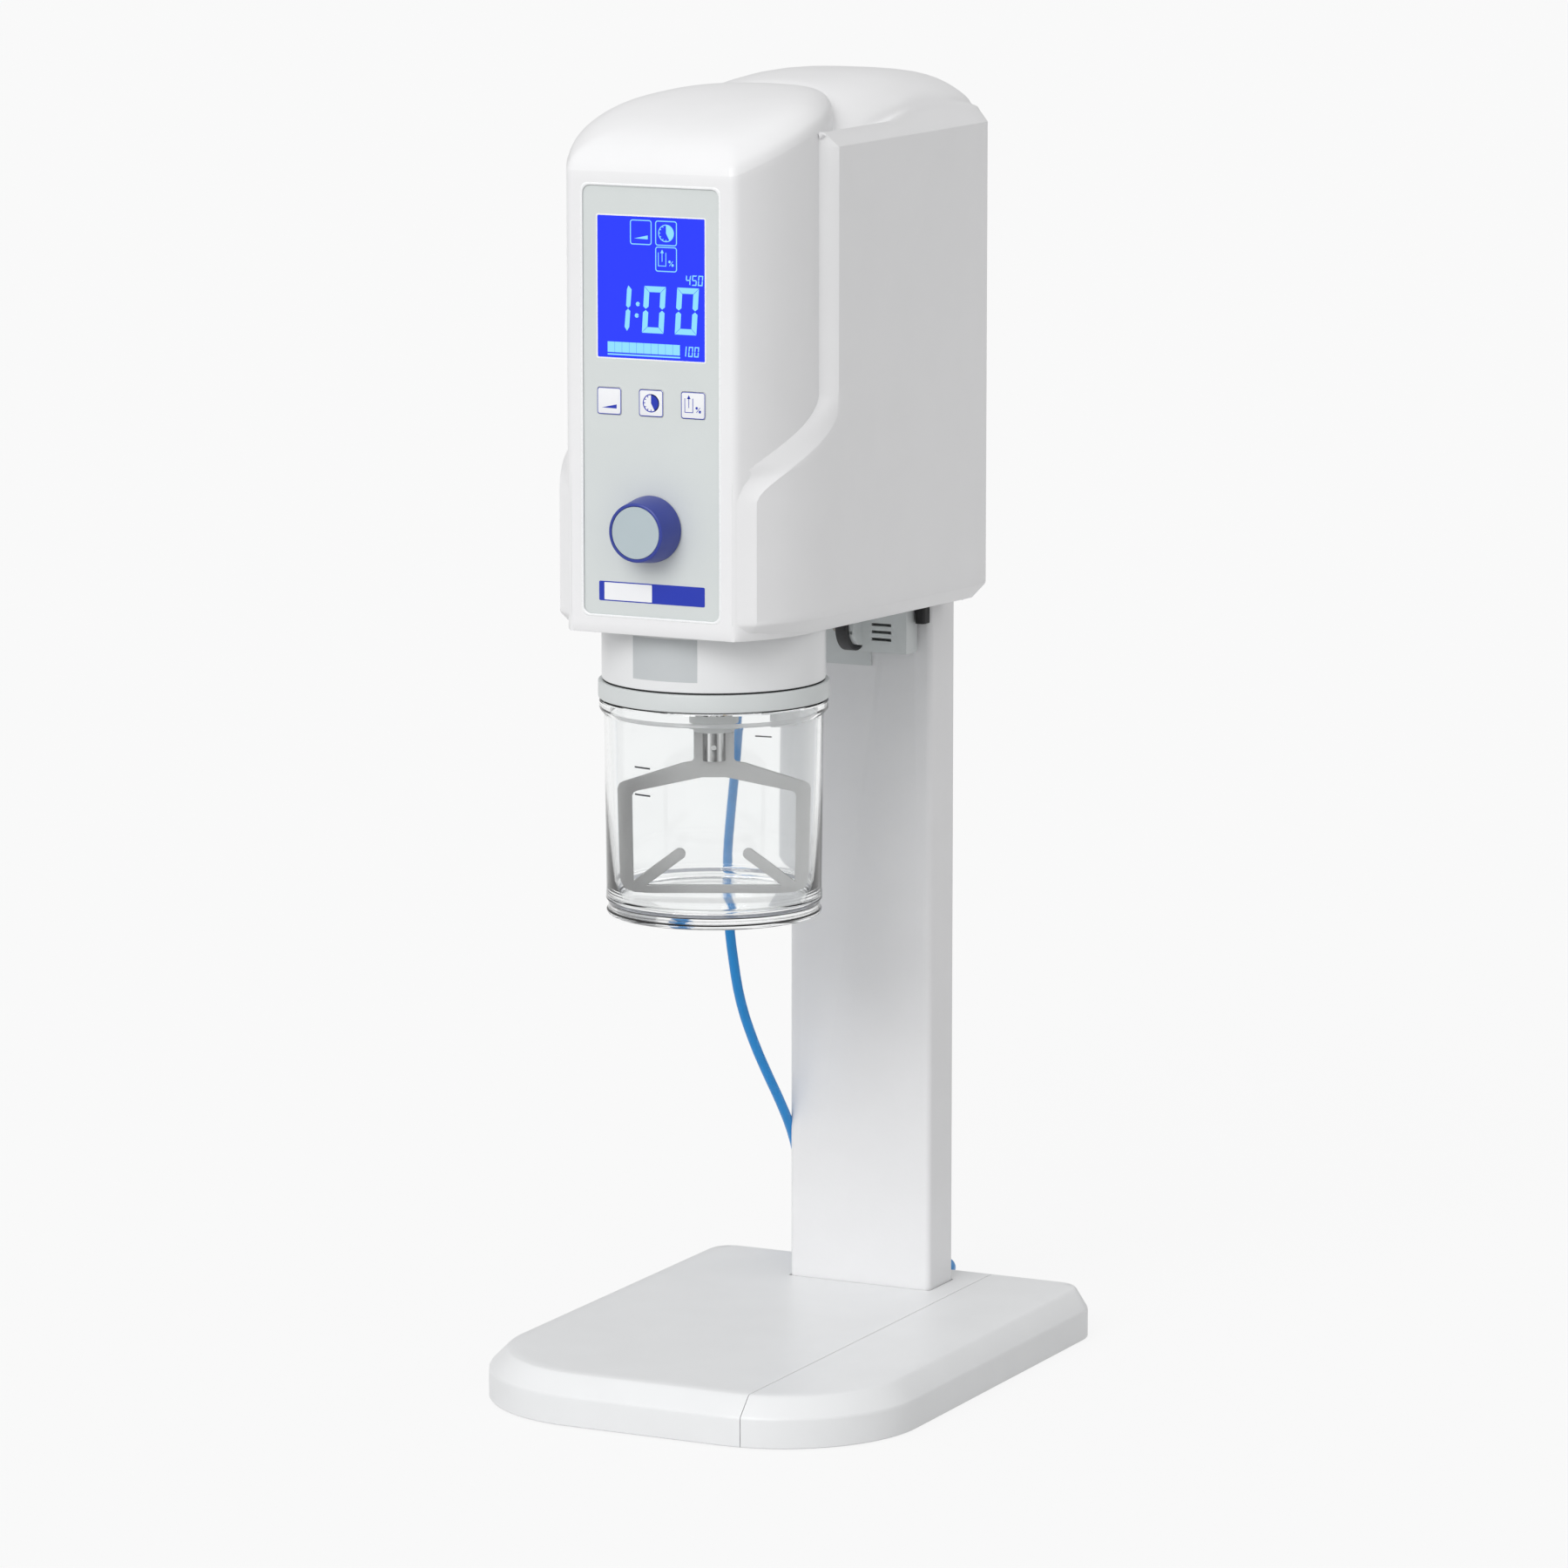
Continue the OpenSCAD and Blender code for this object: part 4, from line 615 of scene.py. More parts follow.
def rear_row(kind, a, b=0.0):
    """One row of points of the right half, from the crease with the front shell to the rear's middle."""
    row = []
    if kind == "low":
        x_in = oval_x(0.0) - 1.9 - a * 0.3
        start = 0.0
        out = SHOULDER_Y
        x_out = None
        height = lambda x, y: bottom_z(y) + b
    elif kind == "side":
        start = crease_in(a)
        out = crease_out(a)
        x_in = oval_x(start) - TUCK - 1.5 * (1.0 - smooth_step(start / 6.0))
        x_out = None
        height = lambda x, y: a
    else:
        height = roof_z
        x_out = a
        edge_x = oval_x(CREASE_Y) - TUCK
        if a > edge_x:
            start = CREASE_Y
            out = CREASE_Y + CHAMFER * (a - edge_x) / (HALF_W - edge_x)
            x_in = edge_x
        else:
            start = OVAL_Y + (OVAL_B - 0.6) * math.sqrt(max(0.0, 1.0 - (a / (OVAL_A - 0.6)) ** 2))
            out = start + 3.0
            x_in = a
    inset = a if kind == "low" else 0.0
    edge = x_out if x_out is not None else side_x(out) - inset
    shift = inset * 0.4 if kind == "low" else 0.0
    chord = max(0.001, math.hypot(edge - x_in, out - start))
    bulge = 0.8 * smooth_step(start / 8.0) * min(1.0, max(0.0, edge - x_in) / 9.0)
    for t in (0.0, 0.06, 0.3, 0.5, 0.7, 0.94, 1.0):
        swell = bulge * 4.0 * t * (1.0 - t)
        y = start + shift + (out - start) * t - swell * (edge - x_in) / chord
        x = x_in + (edge - x_in) * t + swell * (out - start) / chord
        row.append((x, y, height(edge if kind == "top" else x, y)))
    behind = HEAD_D - CORNER
    for k in range(1, 22):
        y = out + shift + (behind - out - shift) * k / 21.0
        x = x_out if x_out is not None else side_x(y) - inset
        row.append((x, y, height(x, y)))
    for k in range(1, 7):
        angle = math.radians(15.0 * k)
        x_last = x_out if x_out is not None else HALF_W - inset
        turn = min(CORNER, x_last)
        x = x_last - turn * (1.0 - math.cos(angle))
        y = behind + CORNER * math.sin(angle)
        row.append((x, y, height(x_last, y)))
    x_last = row[-1][0]
    for k in range(1, 5):
        row.append((x_last * (1.0 - k / 4.0), HEAD_D, row[-1][2]))
    return row


def rear_shell_piece():
    rows = [rear_row("low", t, up) for t, up in REAR_ROWS_LOW]
    levels = [474.0 + 6.0 * k for k in range(10)] + [532.0 + 3.0 * k for k in range(22)]
    levels += [600.0 + 12.0 * k for k in range(11)] + [728.0, 732.0, SIDE_TOP - 1.2, SIDE_TOP - 0.6]
    rows += [rear_row("side", z) for z in levels]
    rows += [rear_row("top", x) for x in REAR_ROWS_TOP]
    m = len(rows[0])
    points = []
    for row in rows:
        points += row
        points += [(-x, y, z) for x, y, z in row]
    faces = []
    for r in range(len(rows) - 1):
        lo = r * 2 * m
        hi = (r + 1) * 2 * m
        for i in range(m - 1):
            faces.append((lo + i, lo + i + 1, hi + i + 1, hi + i))
            faces.append((lo + m + i, hi + m + i, hi + m + i + 1, lo + m + i + 1))
    shell = piece("rear_shell_skin", points, faces, SHELL, smooth=180.0)
    give_wall(shell, SHELL_WALL)
    cut_away(shell, box_tool(at(*COLUMN_SLOT_PLACE), COLUMN_SLOT_SIZE))
    settle(shell, SHELL, "stand", 32.0)
    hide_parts("rear_shell")
    return shell


front_shell_piece()
rear_shell_piece()


# Base covers
BASE_W = 268.0
BASE_FRONT = -15.0
BASE_REAR = 331.5
BASE_H = 29.5
BASE_BEVEL = 11.0
BASE_REAR_BEVEL = 3.0
FRONT_R = 85.0
REAR_R = 25.0
SEAM_X = 62.5
BASE_WALL = 2.8
HALF_SEAM = 0.2
OPENING_PLACE = (0.0, 288.5, 30.0)
OPENING_SIZE = (94.8, 34.8, 30.0)


def base_outline(inset, rear):
    x = BASE_W / 2 - inset
    y0 = BASE_FRONT + inset
    y1 = BASE_REAR - rear
    rf = FRONT_R - inset
    rr = REAR_R - inset
    outline = []
    for cx, cy, r, start, count in ((x - rf, y0 + rf, rf, -90, 24), (x - rr, y1 - rr, rr, 0, 12),
                                    (rr - x, y1 - rr, rr, 90, 12), (rf - x, y0 + rf, rf, 180, 24)):
        for k in range(count + 1):
            a = math.radians(start + 90.0 * k / count)
            outline.append((cx + r * math.cos(a), cy + r * math.sin(a)))
    return outline


def base_piece(name, keep_right, node):
    wall_top = BASE_H - BASE_BEVEL
    steps = [(3.2, 3.2, 1.0), (0.4, 0.4, 1.0), (0.0, 0.0, 1.5), (0.0, 0.0, wall_top - 1.6),
             (0.15, 0.08, wall_top - 0.4), (0.75, 0.25, wall_top + 0.7),
             (BASE_BEVEL - 1.3, BASE_REAR_BEVEL - 0.6, BASE_H - 1.3),
             (BASE_BEVEL - 0.3, BASE_REAR_BEVEL - 0.1, BASE_H - 0.45),
             (BASE_BEVEL + 0.9, BASE_REAR_BEVEL + 0.7, BASE_H),
             (BASE_BEVEL + 8.0, BASE_REAR_BEVEL + 6.0, BASE_H)]
    rings = []
    for inset, rear, z in steps:
        rings.append([(x, y, z) for x, y in base_outline(inset, rear)])
    n = len(rings[0])
    points = [p for ring in rings for p in ring]
    faces = ring_faces(len(rings), n)
    faces.append(tuple((len(rings) - 1) * n + i for i in range(n)))
    cover = piece(name, points, faces, BASE, smooth=28.0)
    pick(cover)
    bpy.ops.object.mode_set(mode="EDIT")
    bpy.ops.mesh.select_all(action="SELECT")
    side = SEAM_X + (HALF_SEAM if keep_right else -HALF_SEAM)
    bpy.ops.mesh.bisect(plane_co=at(side, 0.0, 0.0), plane_no=(1.0, 0.0, 0.0), use_fill=False,
                        clear_inner=keep_right, clear_outer=not keep_right)
    bpy.ops.object.mode_set(mode="OBJECT")
    give_wall(cover, BASE_WALL)
    if not keep_right:
        cut_away(cover, box_tool(at(*OPENING_PLACE), OPENING_SIZE))
    settle(cover, BASE, "stand", 28.0)
    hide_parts(node)
    return cover


base_piece("base_cover_skin", False, "base_cover")
base_piece("base_side_cover_skin", True, "base_side_cover")
softened("column", COAT, 0.4, segments=2)


# Control panel
clothe(FOIL, "control_panel")


def panel_rim():
    outline = rounded_outline(PANEL_W + 0.9, PANEL_H + 0.9, 4.5, 10)
    n = len(outline)
    count = 8
    points = []
    for px, pz in outline:
        reach_x = px / (PANEL_W / 2 + 0.7)
        reach_z = pz / (PANEL_H / 2 + 0.7)
        flat = abs(reach_x) > abs(reach_z)
        for k in range(count):
            a = 2.0 * math.pi * k / count
            grow = 0.75 * math.cos(a)
            gx = grow * (1.0 if px > 0 else -1.0)
            gz = grow * (1.0 if pz > 0 else -1.0)
            points.append((px + gx, 0.05 + 0.35 * math.sin(a), PANEL_Z + PANEL_H / 2 + pz + gz))
    return piece("panel_rim", points, loop_faces(n, count), RIM, smooth=60.0)


panel_rim()

# Display
WINDOW_W = 67.6
WINDOW_H = 80.0
WINDOW_Z = 619.2
WINDOW_TOP = WINDOW_Z + WINDOW_H
window = slab("display_glass", rounded_outline(WINDOW_W, WINDOW_H, 0.8, 4), 0.0, WINDOW_Z + WINDOW_H / 2,
              0.95, 2.6, LCD)
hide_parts("display_window")
frame_slab("display_edge", WINDOW_W + 1.6, WINDOW_H + 1.6, 1.2, 0.8, 0.0, WINDOW_Z + WINDOW_H / 2, 0.72,
           0.9, RIM)
LIT_FRONT = 0.88
LIT_BACK = 0.96


def segment_digit(x, z, w, h, t, lean, lit, name):
    """The lit bars of one digit: x, z its lower left corner, lean the shift of its top."""
    half = h / 2.0
    gap = t * 0.10
    bars = {
        "a": [(0, h), (w, h), (w - t, h - t), (t, h - t)],
        "d": [(t, t), (w - t, t), (w, 0), (0, 0)],
        "g": [(t * 0.6, half + t / 2), (w - t * 0.6, half + t / 2), (w - t * 0.6, half - t / 2),
              (t * 0.6, half - t / 2)],
        "f": [(0, h - gap), (t, h - t - gap), (t, half + t * 0.5), (t * 0.5, half + gap),
              (0, half + t * 0.5)],
        "e": [(0, gap), (0, half - t * 0.5), (t * 0.5, half - gap), (t, half - t * 0.5), (t, t + gap)],
        "b": [(w, h - gap), (w, half + t * 0.5), (w - t * 0.5, half + gap), (w - t, half + t * 0.5),
              (w - t, h - t - gap)],
        "c": [(w, gap), (w - t, t + gap), (w - t, half - t * 0.5), (w - t * 0.5, half - gap),
              (w, half - t * 0.5)],
    }
    things = []
    for key in lit:
        outline = [(px + lean * pz / h, pz) for px, pz in bars[key]]
        things.append(slab(name + key, outline, x, z, LIT_FRONT, LIT_BACK, LIT))
    return things


def stroke(name, x0, z0, x1, z1, line, material, d0, d1, body="stand"):
    length = max(0.001, math.hypot(x1 - x0, z1 - z0))
    ux = (x1 - x0) / length
    uz = (z1 - z0) / length
    h = line / 2
    outline = [(-uz * h, ux * h), (ux * length - uz * h, uz * length + ux * h),
               (ux * length + uz * h, uz * length - ux * h), (uz * h, -ux * h)]
    return slab(name, outline, x0, z0, d0, d1, material, body)


def pie(name, x, z, r, start, end, material, d0, d1, body="stand"):
    outline = [(0.0, 0.0)]
    for k in range(25):
        a = math.radians(start + (end - start) * k / 24.0)
        outline.append((r * math.cos(a), r * math.sin(a)))
    return slab(name, outline, x, z, d0, d1, material, body)


def clock_sign(name, x, z, r, line, material, d0, d1, body="stand"):
    things = [pie(name + "_part", x, z, r, 90.0, -62.0, material, d0, d1, body)]
    points = []
    count = 40
    for k in range(count):
        a = 2.0 * math.pi * k / count
        for radius, d in ((r, d0), (r - line, d0), (r - line, d1), (r, d1)):
            points.append((x + radius * math.cos(a), d, z + radius * math.sin(a)))
    things.append(piece(name + "_ring", points, loop_faces(count, 4), material, body))
    far = r - line
    near = r - line * 2.6
    for k in range(1, 7):
        a = math.radians(90.0 + 30.0 * k)
        things.append(stroke(name + "_tick%d" % k, x + far * math.cos(a), z + far * math.sin(a),
                             x + near * math.cos(a), z + near * math.sin(a), line * 0.8, material, d0, d1,
                             body))
    return things


def beaker_sign(name, x, z, s, line, material, d0, d1, body="stand"):
    """A small beaker with an arrow up, as on the third key: s is half its box."""
    left = x - 0.72 * s
    right = x - 0.02 * s
    low = z - 0.55 * s
    high = z + 0.55 * s
    mid = (left + right) / 2
    look = (material, d0, d1, body)
    tip = [(-0.16 * s, 0.0), (0.16 * s, 0.0), (0.0, 0.3 * s)]
    things = [
        stroke(name + "_l", left, high, left, low, line, *look),
        stroke(name + "_r", right, high, right, low, line, *look),
        stroke(name + "_b", left - line / 2, low, right + line / 2, low, line, *look),
        stroke(name + "_a", mid, low + 0.35 * s, mid, high + 0.05 * s, line, *look),
        slab(name + "_tip", tip, mid, high - 0.05 * s, d0, d1, material, body),
        stroke(name + "_p", x + 0.3 * s, low + 0.02 * s, x + 0.62 * s, low + 0.42 * s, line * 0.8, *look),
    ]
    for k, (px, pz) in enumerate(((0.32, 0.36), (0.6, 0.08))):
        things.append(pie(name + "_o%d" % k, x + px * s, low + pz * s, 0.11 * s, 0.0, 345.0, *look))
    return things


def wedge_sign(name, x, z, s, material, d0, d1, body="stand"):
    outline = [(-0.62 * s, -0.52 * s), (0.64 * s, -0.56 * s), (0.64 * s, -0.24 * s)]
    return [slab(name, outline, x, z, d0, d1, material, body)]


ICON_ROW = WINDOW_TOP - 8.8
ICON_LOW = WINDOW_TOP - 23.4
TIME_LOW = WINDOW_TOP - 65.2
SPEED_LOW = WINDOW_TOP - 37.4
FULL_LOW = WINDOW_TOP - 77.5
ONE_X = -15.9
BAR_X = -27.6
BAR_PITCH = 4.58


def display_signs():
    icons = []
    for k, (x, z) in enumerate(((-6.4, ICON_ROW), (9.5, ICON_ROW), (9.5, ICON_LOW))):
        icons.append(frame_slab("icon_box%d" % k, 13.6, 14.0, 1.6, 0.55, x, z, LIT_FRONT, LIT_BACK, LIT))
    icons += wedge_sign("icon_wedge", -6.4, ICON_ROW, 6.8, LIT, LIT_FRONT, LIT_BACK)
    icons += clock_sign("icon_clock", 9.5, ICON_ROW, 4.9, 0.5, LIT, LIT_FRONT, LIT_BACK)
    icons += beaker_sign("icon_beaker", 9.5, ICON_LOW, 6.8, 0.42, LIT, LIT_FRONT, LIT_BACK)
    joined("display_icons", icons)
    one_top = [(1.6, 25.6), (3.6, 23.4), (2.8, 14.2), (1.4, 12.9), (0.1, 14.2), (0.7, 23.4)]
    one_low = [(1.3, 12.5), (2.7, 11.2), (2.0, 2.2), (0.6, 0.0), (-0.9, 2.2), (-0.1, 11.2)]
    big = [slab("one_top", one_top, ONE_X, TIME_LOW + 0.6, LIT_FRONT, LIT_BACK, LIT),
           slab("one_low", one_low, ONE_X, TIME_LOW + 0.6, LIT_FRONT, LIT_BACK, LIT)]
    big += segment_digit(-5.9, TIME_LOW, 13.6, 26.4, 3.3, 1.7, "abcdef", "tens")
    big += segment_digit(14.8, TIME_LOW, 13.6, 26.4, 3.3, 1.7, "abcdef", "units")
    for k, (x, z) in enumerate(((-8.4, WINDOW_TOP - 49.2), (-9.1, WINDOW_TOP - 55.7))):
        big.append(pie("colon%d" % k, x, z, 1.25, 0.0, 345.0, LIT, LIT_FRONT, LIT_BACK))
    joined("display_time", big)
    small = []
    for x, lit, name in ((21.6, "fgbc", "speed_four"), (25.5, "afgcd", "speed_five"),
                         (29.3, "abcdef", "speed_nought")):
        small += segment_digit(x, SPEED_LOW, 3.0, 5.8, 0.62, 0.5, lit, name)
    small.append(stroke("full_one", 21.6, FULL_LOW + 0.2, 22.1, FULL_LOW + 5.8, 0.62, LIT, LIT_FRONT,
                        LIT_BACK))
    for x, name in ((23.2, "full_ten"), (26.9, "full_unit")):
        small += segment_digit(x, FULL_LOW, 2.8, 5.8, 0.62, 0.5, "abcdef", name)
    bar = [(0.0, 0.0), (4.4, 0.0), (4.4, 5.9), (0.0, 5.9)]
    for k in range(10):
        small.append(slab("bar%d" % k, bar, BAR_X + BAR_PITCH * k, FULL_LOW + 0.5, LIT_FRONT, LIT_BACK,
                          LIT))
    small.append(stroke("bar_line", BAR_X, FULL_LOW - 0.7, 18.2, FULL_LOW - 0.7, 0.8, LIT, LIT_FRONT,
                        LIT_BACK))
    joined("display_values", small)


display_signs()

# Keys, with their printed signs
KEY_Z = PANEL_Z + 121.9
KEY_FRONT = 0.4
PRINT_FRONT = KEY_FRONT - 0.04
PRINT_BACK = KEY_FRONT + 0.05
for node, body, x in (("speed_key", "speed_button", -26.5), ("time_key", "time_button", 0.0),
                      ("vacuum_key", "vacuum_button", 26.5)):
    softened(node, KEY, 0.25, body, segments=2)
    signs = [frame_slab(node + "_frame", 15.0, 15.0, 1.5, 0.38, x, KEY_Z, PRINT_FRONT, PRINT_BACK, PRINT,
                        body)]
    if node == "speed_key":
        signs += wedge_sign(node + "_sign", x, KEY_Z, 7.4, PRINT, PRINT_FRONT, PRINT_BACK, body)
    elif node == "time_key":
        signs += clock_sign(node + "_sign", x, KEY_Z, 5.2, 0.6, PRINT, PRINT_FRONT, PRINT_BACK, body)
    else:
        signs += beaker_sign(node + "_sign", x, KEY_Z, 7.2, 0.4, PRINT, PRINT_FRONT, PRINT_BACK, body)
    joined(node + "_signs", signs)

# The printed strip, its words left off
STRIP_Z = 486.3
slab("strip_blue", rounded_outline(67.0, 11.2, 0.8, 4), 0.0, STRIP_Z, 0.66, 0.82, PRINT)
slab("strip_block", rounded_outline(30.2, 9.9, 0.4, 3), -15.0, STRIP_Z, 0.6, 0.7, LABEL)

# Knob
KNOB_Z = 523.3
KNOB_OUT = 19.5
turned("knob_body", [(3.1, 0.3), (18.6, 0.3), (19.0, -0.1), (19.0, -2.2), (17.0, 1.4 - KNOB_OUT),
                     (16.75, 0.5 - KNOB_OUT), (16.2, 0.1 - KNOB_OUT), (15.5, 0.0 - KNOB_OUT),
                     (15.1, 0.1 - KNOB_OUT), (15.0, 0.4 - KNOB_OUT), (15.0, 1.2 - KNOB_OUT),
                     (3.1, 1.2 - KNOB_OUT)], KNOB, 0.0, KNOB_Z, "knob_unit", "Y", 30.0, 128, ("knob",))
turned("knob_disc", [(0.0, 1.15 - KNOB_OUT), (14.8, 1.15 - KNOB_OUT), (14.8, 0.4 - KNOB_OUT),
                     (14.6, 0.25 - KNOB_OUT), (0.0, 0.2 - KNOB_OUT)], CAP, 0.0, KNOB_Z, "knob_unit", "Y",
       30.0, 128, ("knob_cap",))

# Lid, ring and beaker
LID_TOP = 466.0
RING_TOP = 428.5
BEAKER_TOP = 416.5
BEAKER_LOW = 291.5
FLOOR_Z = 297.0
PLUG_LOW = 416.0
PORT_LOW = 403.0
turned("lid_shell", [(10.2, PLUG_LOW), (58.4, PLUG_LOW), (58.9, PLUG_LOW + 0.5), (58.9, RING_TOP - 0.1),
                     (63.6, RING_TOP - 0.1), (64.3, RING_TOP + 0.25), (64.5, RING_TOP + 1.0),
                     (64.5, LID_TOP - 0.6), (64.0, LID_TOP), (61.5, LID_TOP), (61.5, RING_TOP + 4.0),
                     (54.9, RING_TOP), (54.9, PLUG_LOW + 4.0), (14.2, PLUG_LOW + 4.0), (14.2, 449.0),
                     (10.2, 449.0)], LID, 0.0, AXIS_D, "bowl_lid", "Z", 32.0, 192, ("lid",))
turned("ring_soft", [(59.0, BEAKER_TOP + 0.9), (65.9, BEAKER_TOP + 0.9), (66.5, BEAKER_TOP + 1.3),
                     (66.6, BEAKER_TOP + 1.9), (66.6, RING_TOP - 1.9), (66.4, RING_TOP - 1.3),
                     (65.9, RING_TOP - 0.9), (59.0, RING_TOP - 0.9)], PALE, 0.0, AXIS_D, "bowl_lid", "Z",
       32.0, 192, ("seal_ring",))
turned("ring_core", [(59.0, BEAKER_TOP + 0.2), (64.0, BEAKER_TOP + 0.2), (64.0, RING_TOP - 0.2),
                     (59.0, RING_TOP - 0.2)], GAP, 0.0, AXIS_D, "bowl_lid", "Z", 32.0, 128)
turned("port_tube", [(4.0, PLUG_LOW + 0.2), (9.0, PLUG_LOW + 0.2), (9.0, PORT_LOW + 0.4), (8.6, PORT_LOW),
                     (4.4, PORT_LOW), (4.0, PORT_LOW + 0.4)], LID, 37.0, AXIS_D + 18.0, "bowl_lid", "Z",
       32.0, 64)

BEAKER_PROFILE = [(0.0, BEAKER_LOW), (60.6, BEAKER_LOW), (61.6, BEAKER_LOW + 0.5),
                  (62.1, BEAKER_LOW + 1.4), (62.1, BEAKER_LOW + 2.2), (61.3, BEAKER_LOW + 3.0),
                  (61.1, BEAKER_LOW + 4.0), (61.1, BEAKER_LOW + 6.6), (61.4, BEAKER_LOW + 7.4),
                  (62.2, BEAKER_LOW + 8.4), (62.4, BEAKER_LOW + 9.0), (62.15, BEAKER_LOW + 9.6),
                  (62.4, BEAKER_LOW + 10.2), (62.4, BEAKER_LOW + 10.7), (62.15, BEAKER_LOW + 11.3),
                  (62.4, BEAKER_LOW + 11.9), (62.4, BEAKER_LOW + 12.6), (62.1, BEAKER_LOW + 13.4),
                  (62.15, BEAKER_LOW + 20.0), (63.2, BEAKER_TOP - 10.0), (63.5, BEAKER_TOP - 8.2),
                  (65.4, BEAKER_TOP - 6.2), (65.9, BEAKER_TOP - 5.2), (66.0, BEAKER_TOP - 1.0),
                  (65.6, BEAKER_TOP - 0.3), (65.0, BEAKER_TOP), (60.2, BEAKER_TOP),
                  (59.8, BEAKER_TOP - 0.4), (58.6, FLOOR_Z + 6.0), (57.9, FLOOR_Z + 3.2),
                  (56.4, FLOOR_Z + 1.2), (53.8, FLOOR_Z + 0.2), (50.0, FLOOR_Z), (0.0, FLOOR_Z)]
glass = turned("beaker_clear", BEAKER_PROFILE, GLASS, 0.0, AXIS_D, "bowl", "Z", 25.0, 192, ("beaker",))


def paint_groove_shade(thing):
    """Paints shade into the groove round the beaker's foot: the faces there take a dark clear finish."""
    thing.data.materials.append(PAINTED_GROOVE_SHADE)
    middle = at(0.0, AXIS_D, 0.0)
    low = (BEAKER_LOW + 6.7) * MM
    high = (BEAKER_LOW + 9.0) * MM
    for face in thing.data.polygons:
        reach = math.hypot(face.center.x - middle.x, face.center.y - middle.y)
        if reach > 0.0607 and low < face.center.z < high:
            face.material_index = 1


paint_groove_shade(glass)


def arc_band(name, middle, spread, count, profile, material, body):
    """A thin band round the bowl's axis; profile has four points of (radius, height)."""
    points = []
    for k in range(count + 1):
        a = math.radians(middle) - spread + 2.0 * spread * k / count
        points += [(r * math.cos(a), AXIS_D + r * math.sin(a), z) for r, z in profile]
    faces = ring_faces(count + 1, 4)
    last = count * 4
    faces.append((0, 1, 2, 3))
    faces.append((last + 3, last + 2, last + 1, last))
    return piece(name, points, faces, material, body)


MARK_L = 11.5
MARK_HALF_H = 0.45


def level_mark(name, angle, z, radius):
    """A short line printed on the beaker's wall, angle counted from +X."""
    inner = radius + 0.02
    outer = radius + 0.16
    low = z - MARK_HALF_H
    high = z + MARK_HALF_H
    profile = ((inner, low), (outer, low), (outer, high), (inner, high))
    return arc_band(name, angle, MARK_L / radius / 2.0, 10, profile, MARK, "bowl")


level_mark("level_mark_high", 256.3, 383.3, 62.9)
level_mark("level_mark_low", 256.3, 367.5, 62.8)
level_mark("level_mark_back", 88.5, 388.5, 62.9)
LABEL_PROFILE = ((64.42, 434.6), (64.62, 434.6), (64.62, 459.0), (64.42, 459.0))
arc_band("lid_label_bare", -90.0, 0.322, 16, LABEL_PROFILE, LID_LABEL, "bowl_lid")

# Mixing tool
softened("paddle", PADDLE_PAINTED_SHADE, 0.35, "mixing_tool", 2, 35.0)
softened("lid_bush", COLLAR, 0.3, "bowl_lid", 2)
softened("paddle_shaft", HUB_PAINTED_REFLECTIONS, 0.2, "mixing_tool", 1)
clothe(STEEL, "paddle_pin", "shaft_clip", "catch_plates", "holding_magnets", "drive_spindle",
       "spindle_bearings", "motor_rotor", "encoder_shaft", "base_screws", "head_screws", "housing_screws",
       "board_spacers")
clothe(SHEET, "ballast_plate", "nut_plate", "back_plate", "motor_plate")
clothe(ALLOY, "column_foot", "small_belt_wheel", "large_belt_wheel", "bearing_tube", "vacuum_ejector")
clothe(BOARD, "display_module", "control_board", "power_supply")
clothe(GREY, "encoder_body", "motor_can")
clothe(DARK, "key_switches", "mains_inlet")
clothe(BELT, "drive_belt")
clothe(LINE, "suction_line")
clothe(PALE, "bottom_plate")
clothe(RUBBER, "rubber_feet")
softened("column_cap", DARK, 0.5, segments=2)
softened("filter_housing", PALE, 0.4, segments=2)
softened("filter_ring", DARK, 0.8, "filter_lock", 3)
softened("filter_plug", WARM, 0.4, "filter_insert", 2)
softened("rubber_buffers", RUBBER, 0.8, segments=3)
softened("air_fitting", STEEL, 0.3, segments=2)
softened("release_collet", KNOB, 0.25, "collet", 2)

# Air hose and its plug
HOSE_D = 6.0
HOSE_POINTS = [(-44, 200, 459), (-44, 200, 431), (-44, 200, 400), (-46, 200, 365), (-49.5, 200, 325),
               (-52, 200, 290), (-53, 202, 262), (-52.5, 207, 235), (-52, 216, 208), (-50, 229, 182),
               (-48.5, 244, 160), (-48, 261, 139), (-49.5, 279, 118), (-53.5, 297, 96), (-58.5, 314, 73),
               (-65, 330, 51), (-73, 345, 32), (-81, 359, 19), (-87, 371, 11.5), (-88.5, 378, 9.7),
               (-88.5, 384, 9.7)]
COIL_X = -42.0
COIL_Y = 390.0
COIL_R = 46.5
COIL_PITCH = 6.5
COIL_TURNS = 6.75
COIL_LOW = 3.2
PLUG_Z = 7.2


def coil_points():
    rings = 24
    count = round(COIL_TURNS * rings)
    climb = 0.5 / COIL_TURNS
    route = []
    for i in range(count + 1):
        s = i / count
        a = math.radians(180.0 - 360.0 * COIL_TURNS * s)
        radius = COIL_R - COIL_PITCH * COIL_TURNS * (s if s < 0.5 else 1.0 - s)
        z = COIL_LOW + COIL_PITCH * (1.0 - smooth_step((s - 0.5 + climb / 2) / climb))
        route.append((COIL_X + radius * math.cos(a), COIL_Y + radius * math.sin(a), z))
    for back, up in ((4, 0), (10, 1), (16, 3), (21, PLUG_Z - COIL_LOW), (27, PLUG_Z - COIL_LOW)):
        route.append((COIL_X - back, COIL_Y - COIL_R, COIL_LOW + up))
    return route


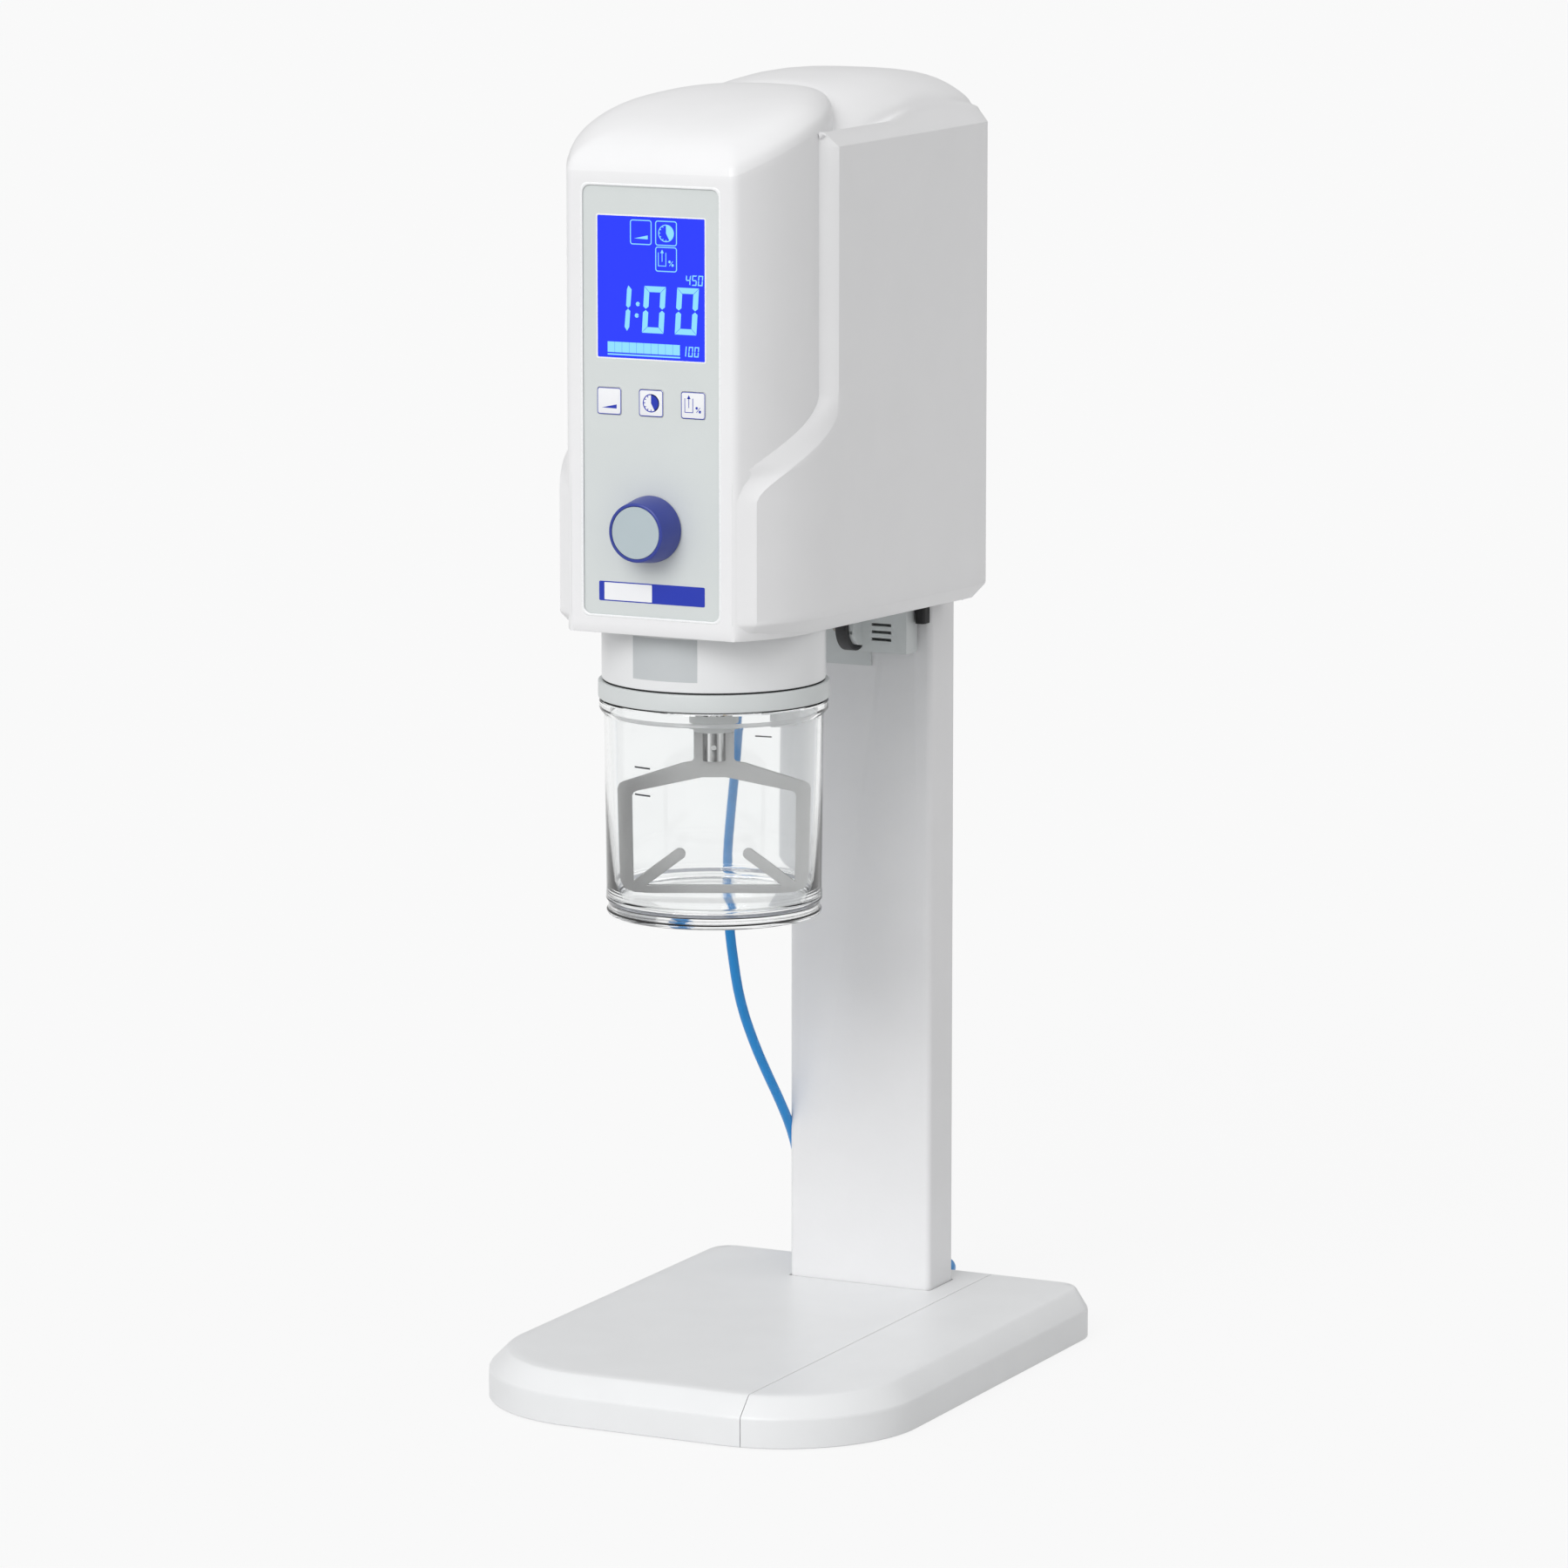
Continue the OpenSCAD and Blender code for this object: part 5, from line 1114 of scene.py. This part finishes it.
def air_hose():
    route = [at(*p) for p in HOSE_POINTS + coil_points()]
    data = bpy.data.curves.new("air_hose_curve", "CURVE")
    data.dimensions = "3D"
    data.bevel_depth = HOSE_D / 2 * MM
    data.bevel_resolution = 5
    data.resolution_u = 3
    data.use_fill_caps = True
    spline = data.splines.new("BEZIER")
    spline.bezier_points.add(len(route) - 1)
    for point, place in zip(spline.bezier_points, route):
        point.co = place
        point.handle_left_type = "AUTO"
        point.handle_right_type = "AUTO"
    data.materials.append(HOSE)
    hose = bpy.data.objects.new("air_hose_line", data)
    bpy.context.collection.objects.link(hose)
    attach(hose, "stand")
    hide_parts("air_hose", "hose_coil")
    clothe(BRASS, "air_plug")
    return hose


air_hose()


# Floor and light
def larger(tree, first, second):
    """The larger of two values, in a material's or the world's nodes."""
    node = tree.nodes.new("ShaderNodeMath")
    node.operation = "MAXIMUM"
    tree.links.new(first, node.inputs[0])
    tree.links.new(second, node.inputs[1])
    return node.outputs["Value"]


def white_stage(name, tone, glow):
    """A pale surface that shows nearly white to the camera and keeps the shadow."""
    material = bpy.data.materials.new(name)
    material.use_nodes = True
    tree = material.node_tree
    shader = tree.nodes["Principled BSDF"]
    output = tree.nodes["Material Output"]
    shader.inputs["Base Color"].default_value = (tone, tone, tone, 1.0)
    shader.inputs["Roughness"].default_value = 0.9
    shader.inputs["Specular IOR Level"].default_value = 0.1
    light = tree.nodes.new("ShaderNodeEmission")
    light.inputs["Color"].default_value = (1.0, 1.0, 1.0, 1.0)
    light.inputs["Strength"].default_value = 1.0
    rays = tree.nodes.new("ShaderNodeLightPath")
    seen = larger(tree, rays.outputs["Is Camera Ray"], rays.outputs["Is Glossy Ray"])
    also = larger(tree, seen, rays.outputs["Is Transmission Ray"])
    share = tree.nodes.new("ShaderNodeMath")
    share.operation = "MULTIPLY"
    share.inputs[1].default_value = glow
    tree.links.new(also, share.inputs[0])
    mix = tree.nodes.new("ShaderNodeMixShader")
    tree.links.new(share.outputs["Value"], mix.inputs["Fac"])
    tree.links.new(shader.outputs["BSDF"], mix.inputs[1])
    tree.links.new(light.outputs["Emission"], mix.inputs[2])
    tree.links.new(mix.outputs["Shader"], output.inputs["Surface"])
    return material


WORLD_LEVEL = 0.43
KEY_ENERGY = 1.36
KEY_SPREAD = 35.0
KEY_FROM = (-0.02, -0.85, 0.53)
TOP_ENERGY = 0.95
TOP_SPREAD = 140.0
TOP_FROM = (0.0, -0.25, 0.97)


def sun_lamp(name, energy, spread, source):
    """A far lamp that shines from the direction source."""
    sun = bpy.data.lights.new(name, "SUN")
    sun.energy = energy
    sun.angle = math.radians(spread)
    lamp = bpy.data.objects.new(name, sun)
    lamp.rotation_euler = Vector(source).to_track_quat("Z", "Y").to_euler()
    bpy.context.collection.objects.link(lamp)


def stage_and_light():
    bpy.ops.mesh.primitive_plane_add(size=60.0, location=(0.0, 0.0, 0.0))
    floor = bpy.context.active_object
    floor.name = "floor"
    floor.data.materials.append(white_stage("studio_floor", 0.60, 0.88))
    world = bpy.data.worlds.new("studio")
    bpy.context.scene.world = world
    world.use_nodes = True
    tree = world.node_tree
    back = tree.nodes["Background"]
    back.inputs["Color"].default_value = (1.0, 1.0, 1.0, 1.0)
    rays = tree.nodes.new("ShaderNodeLightPath")
    seen = larger(tree, rays.outputs["Is Camera Ray"], rays.outputs["Is Transmission Ray"])
    level = tree.nodes.new("ShaderNodeMapRange")
    level.inputs["To Min"].default_value = WORLD_LEVEL
    level.inputs["To Max"].default_value = 1.0
    tree.links.new(seen, level.inputs["Value"])
    tree.links.new(level.outputs["Result"], back.inputs["Strength"])
    sun_lamp("key_light", KEY_ENERGY, KEY_SPREAD, KEY_FROM)
    sun_lamp("top_light", TOP_ENERGY, TOP_SPREAD, TOP_FROM)
    bpy.context.scene.view_settings.view_transform = "Standard"


stage_and_light()
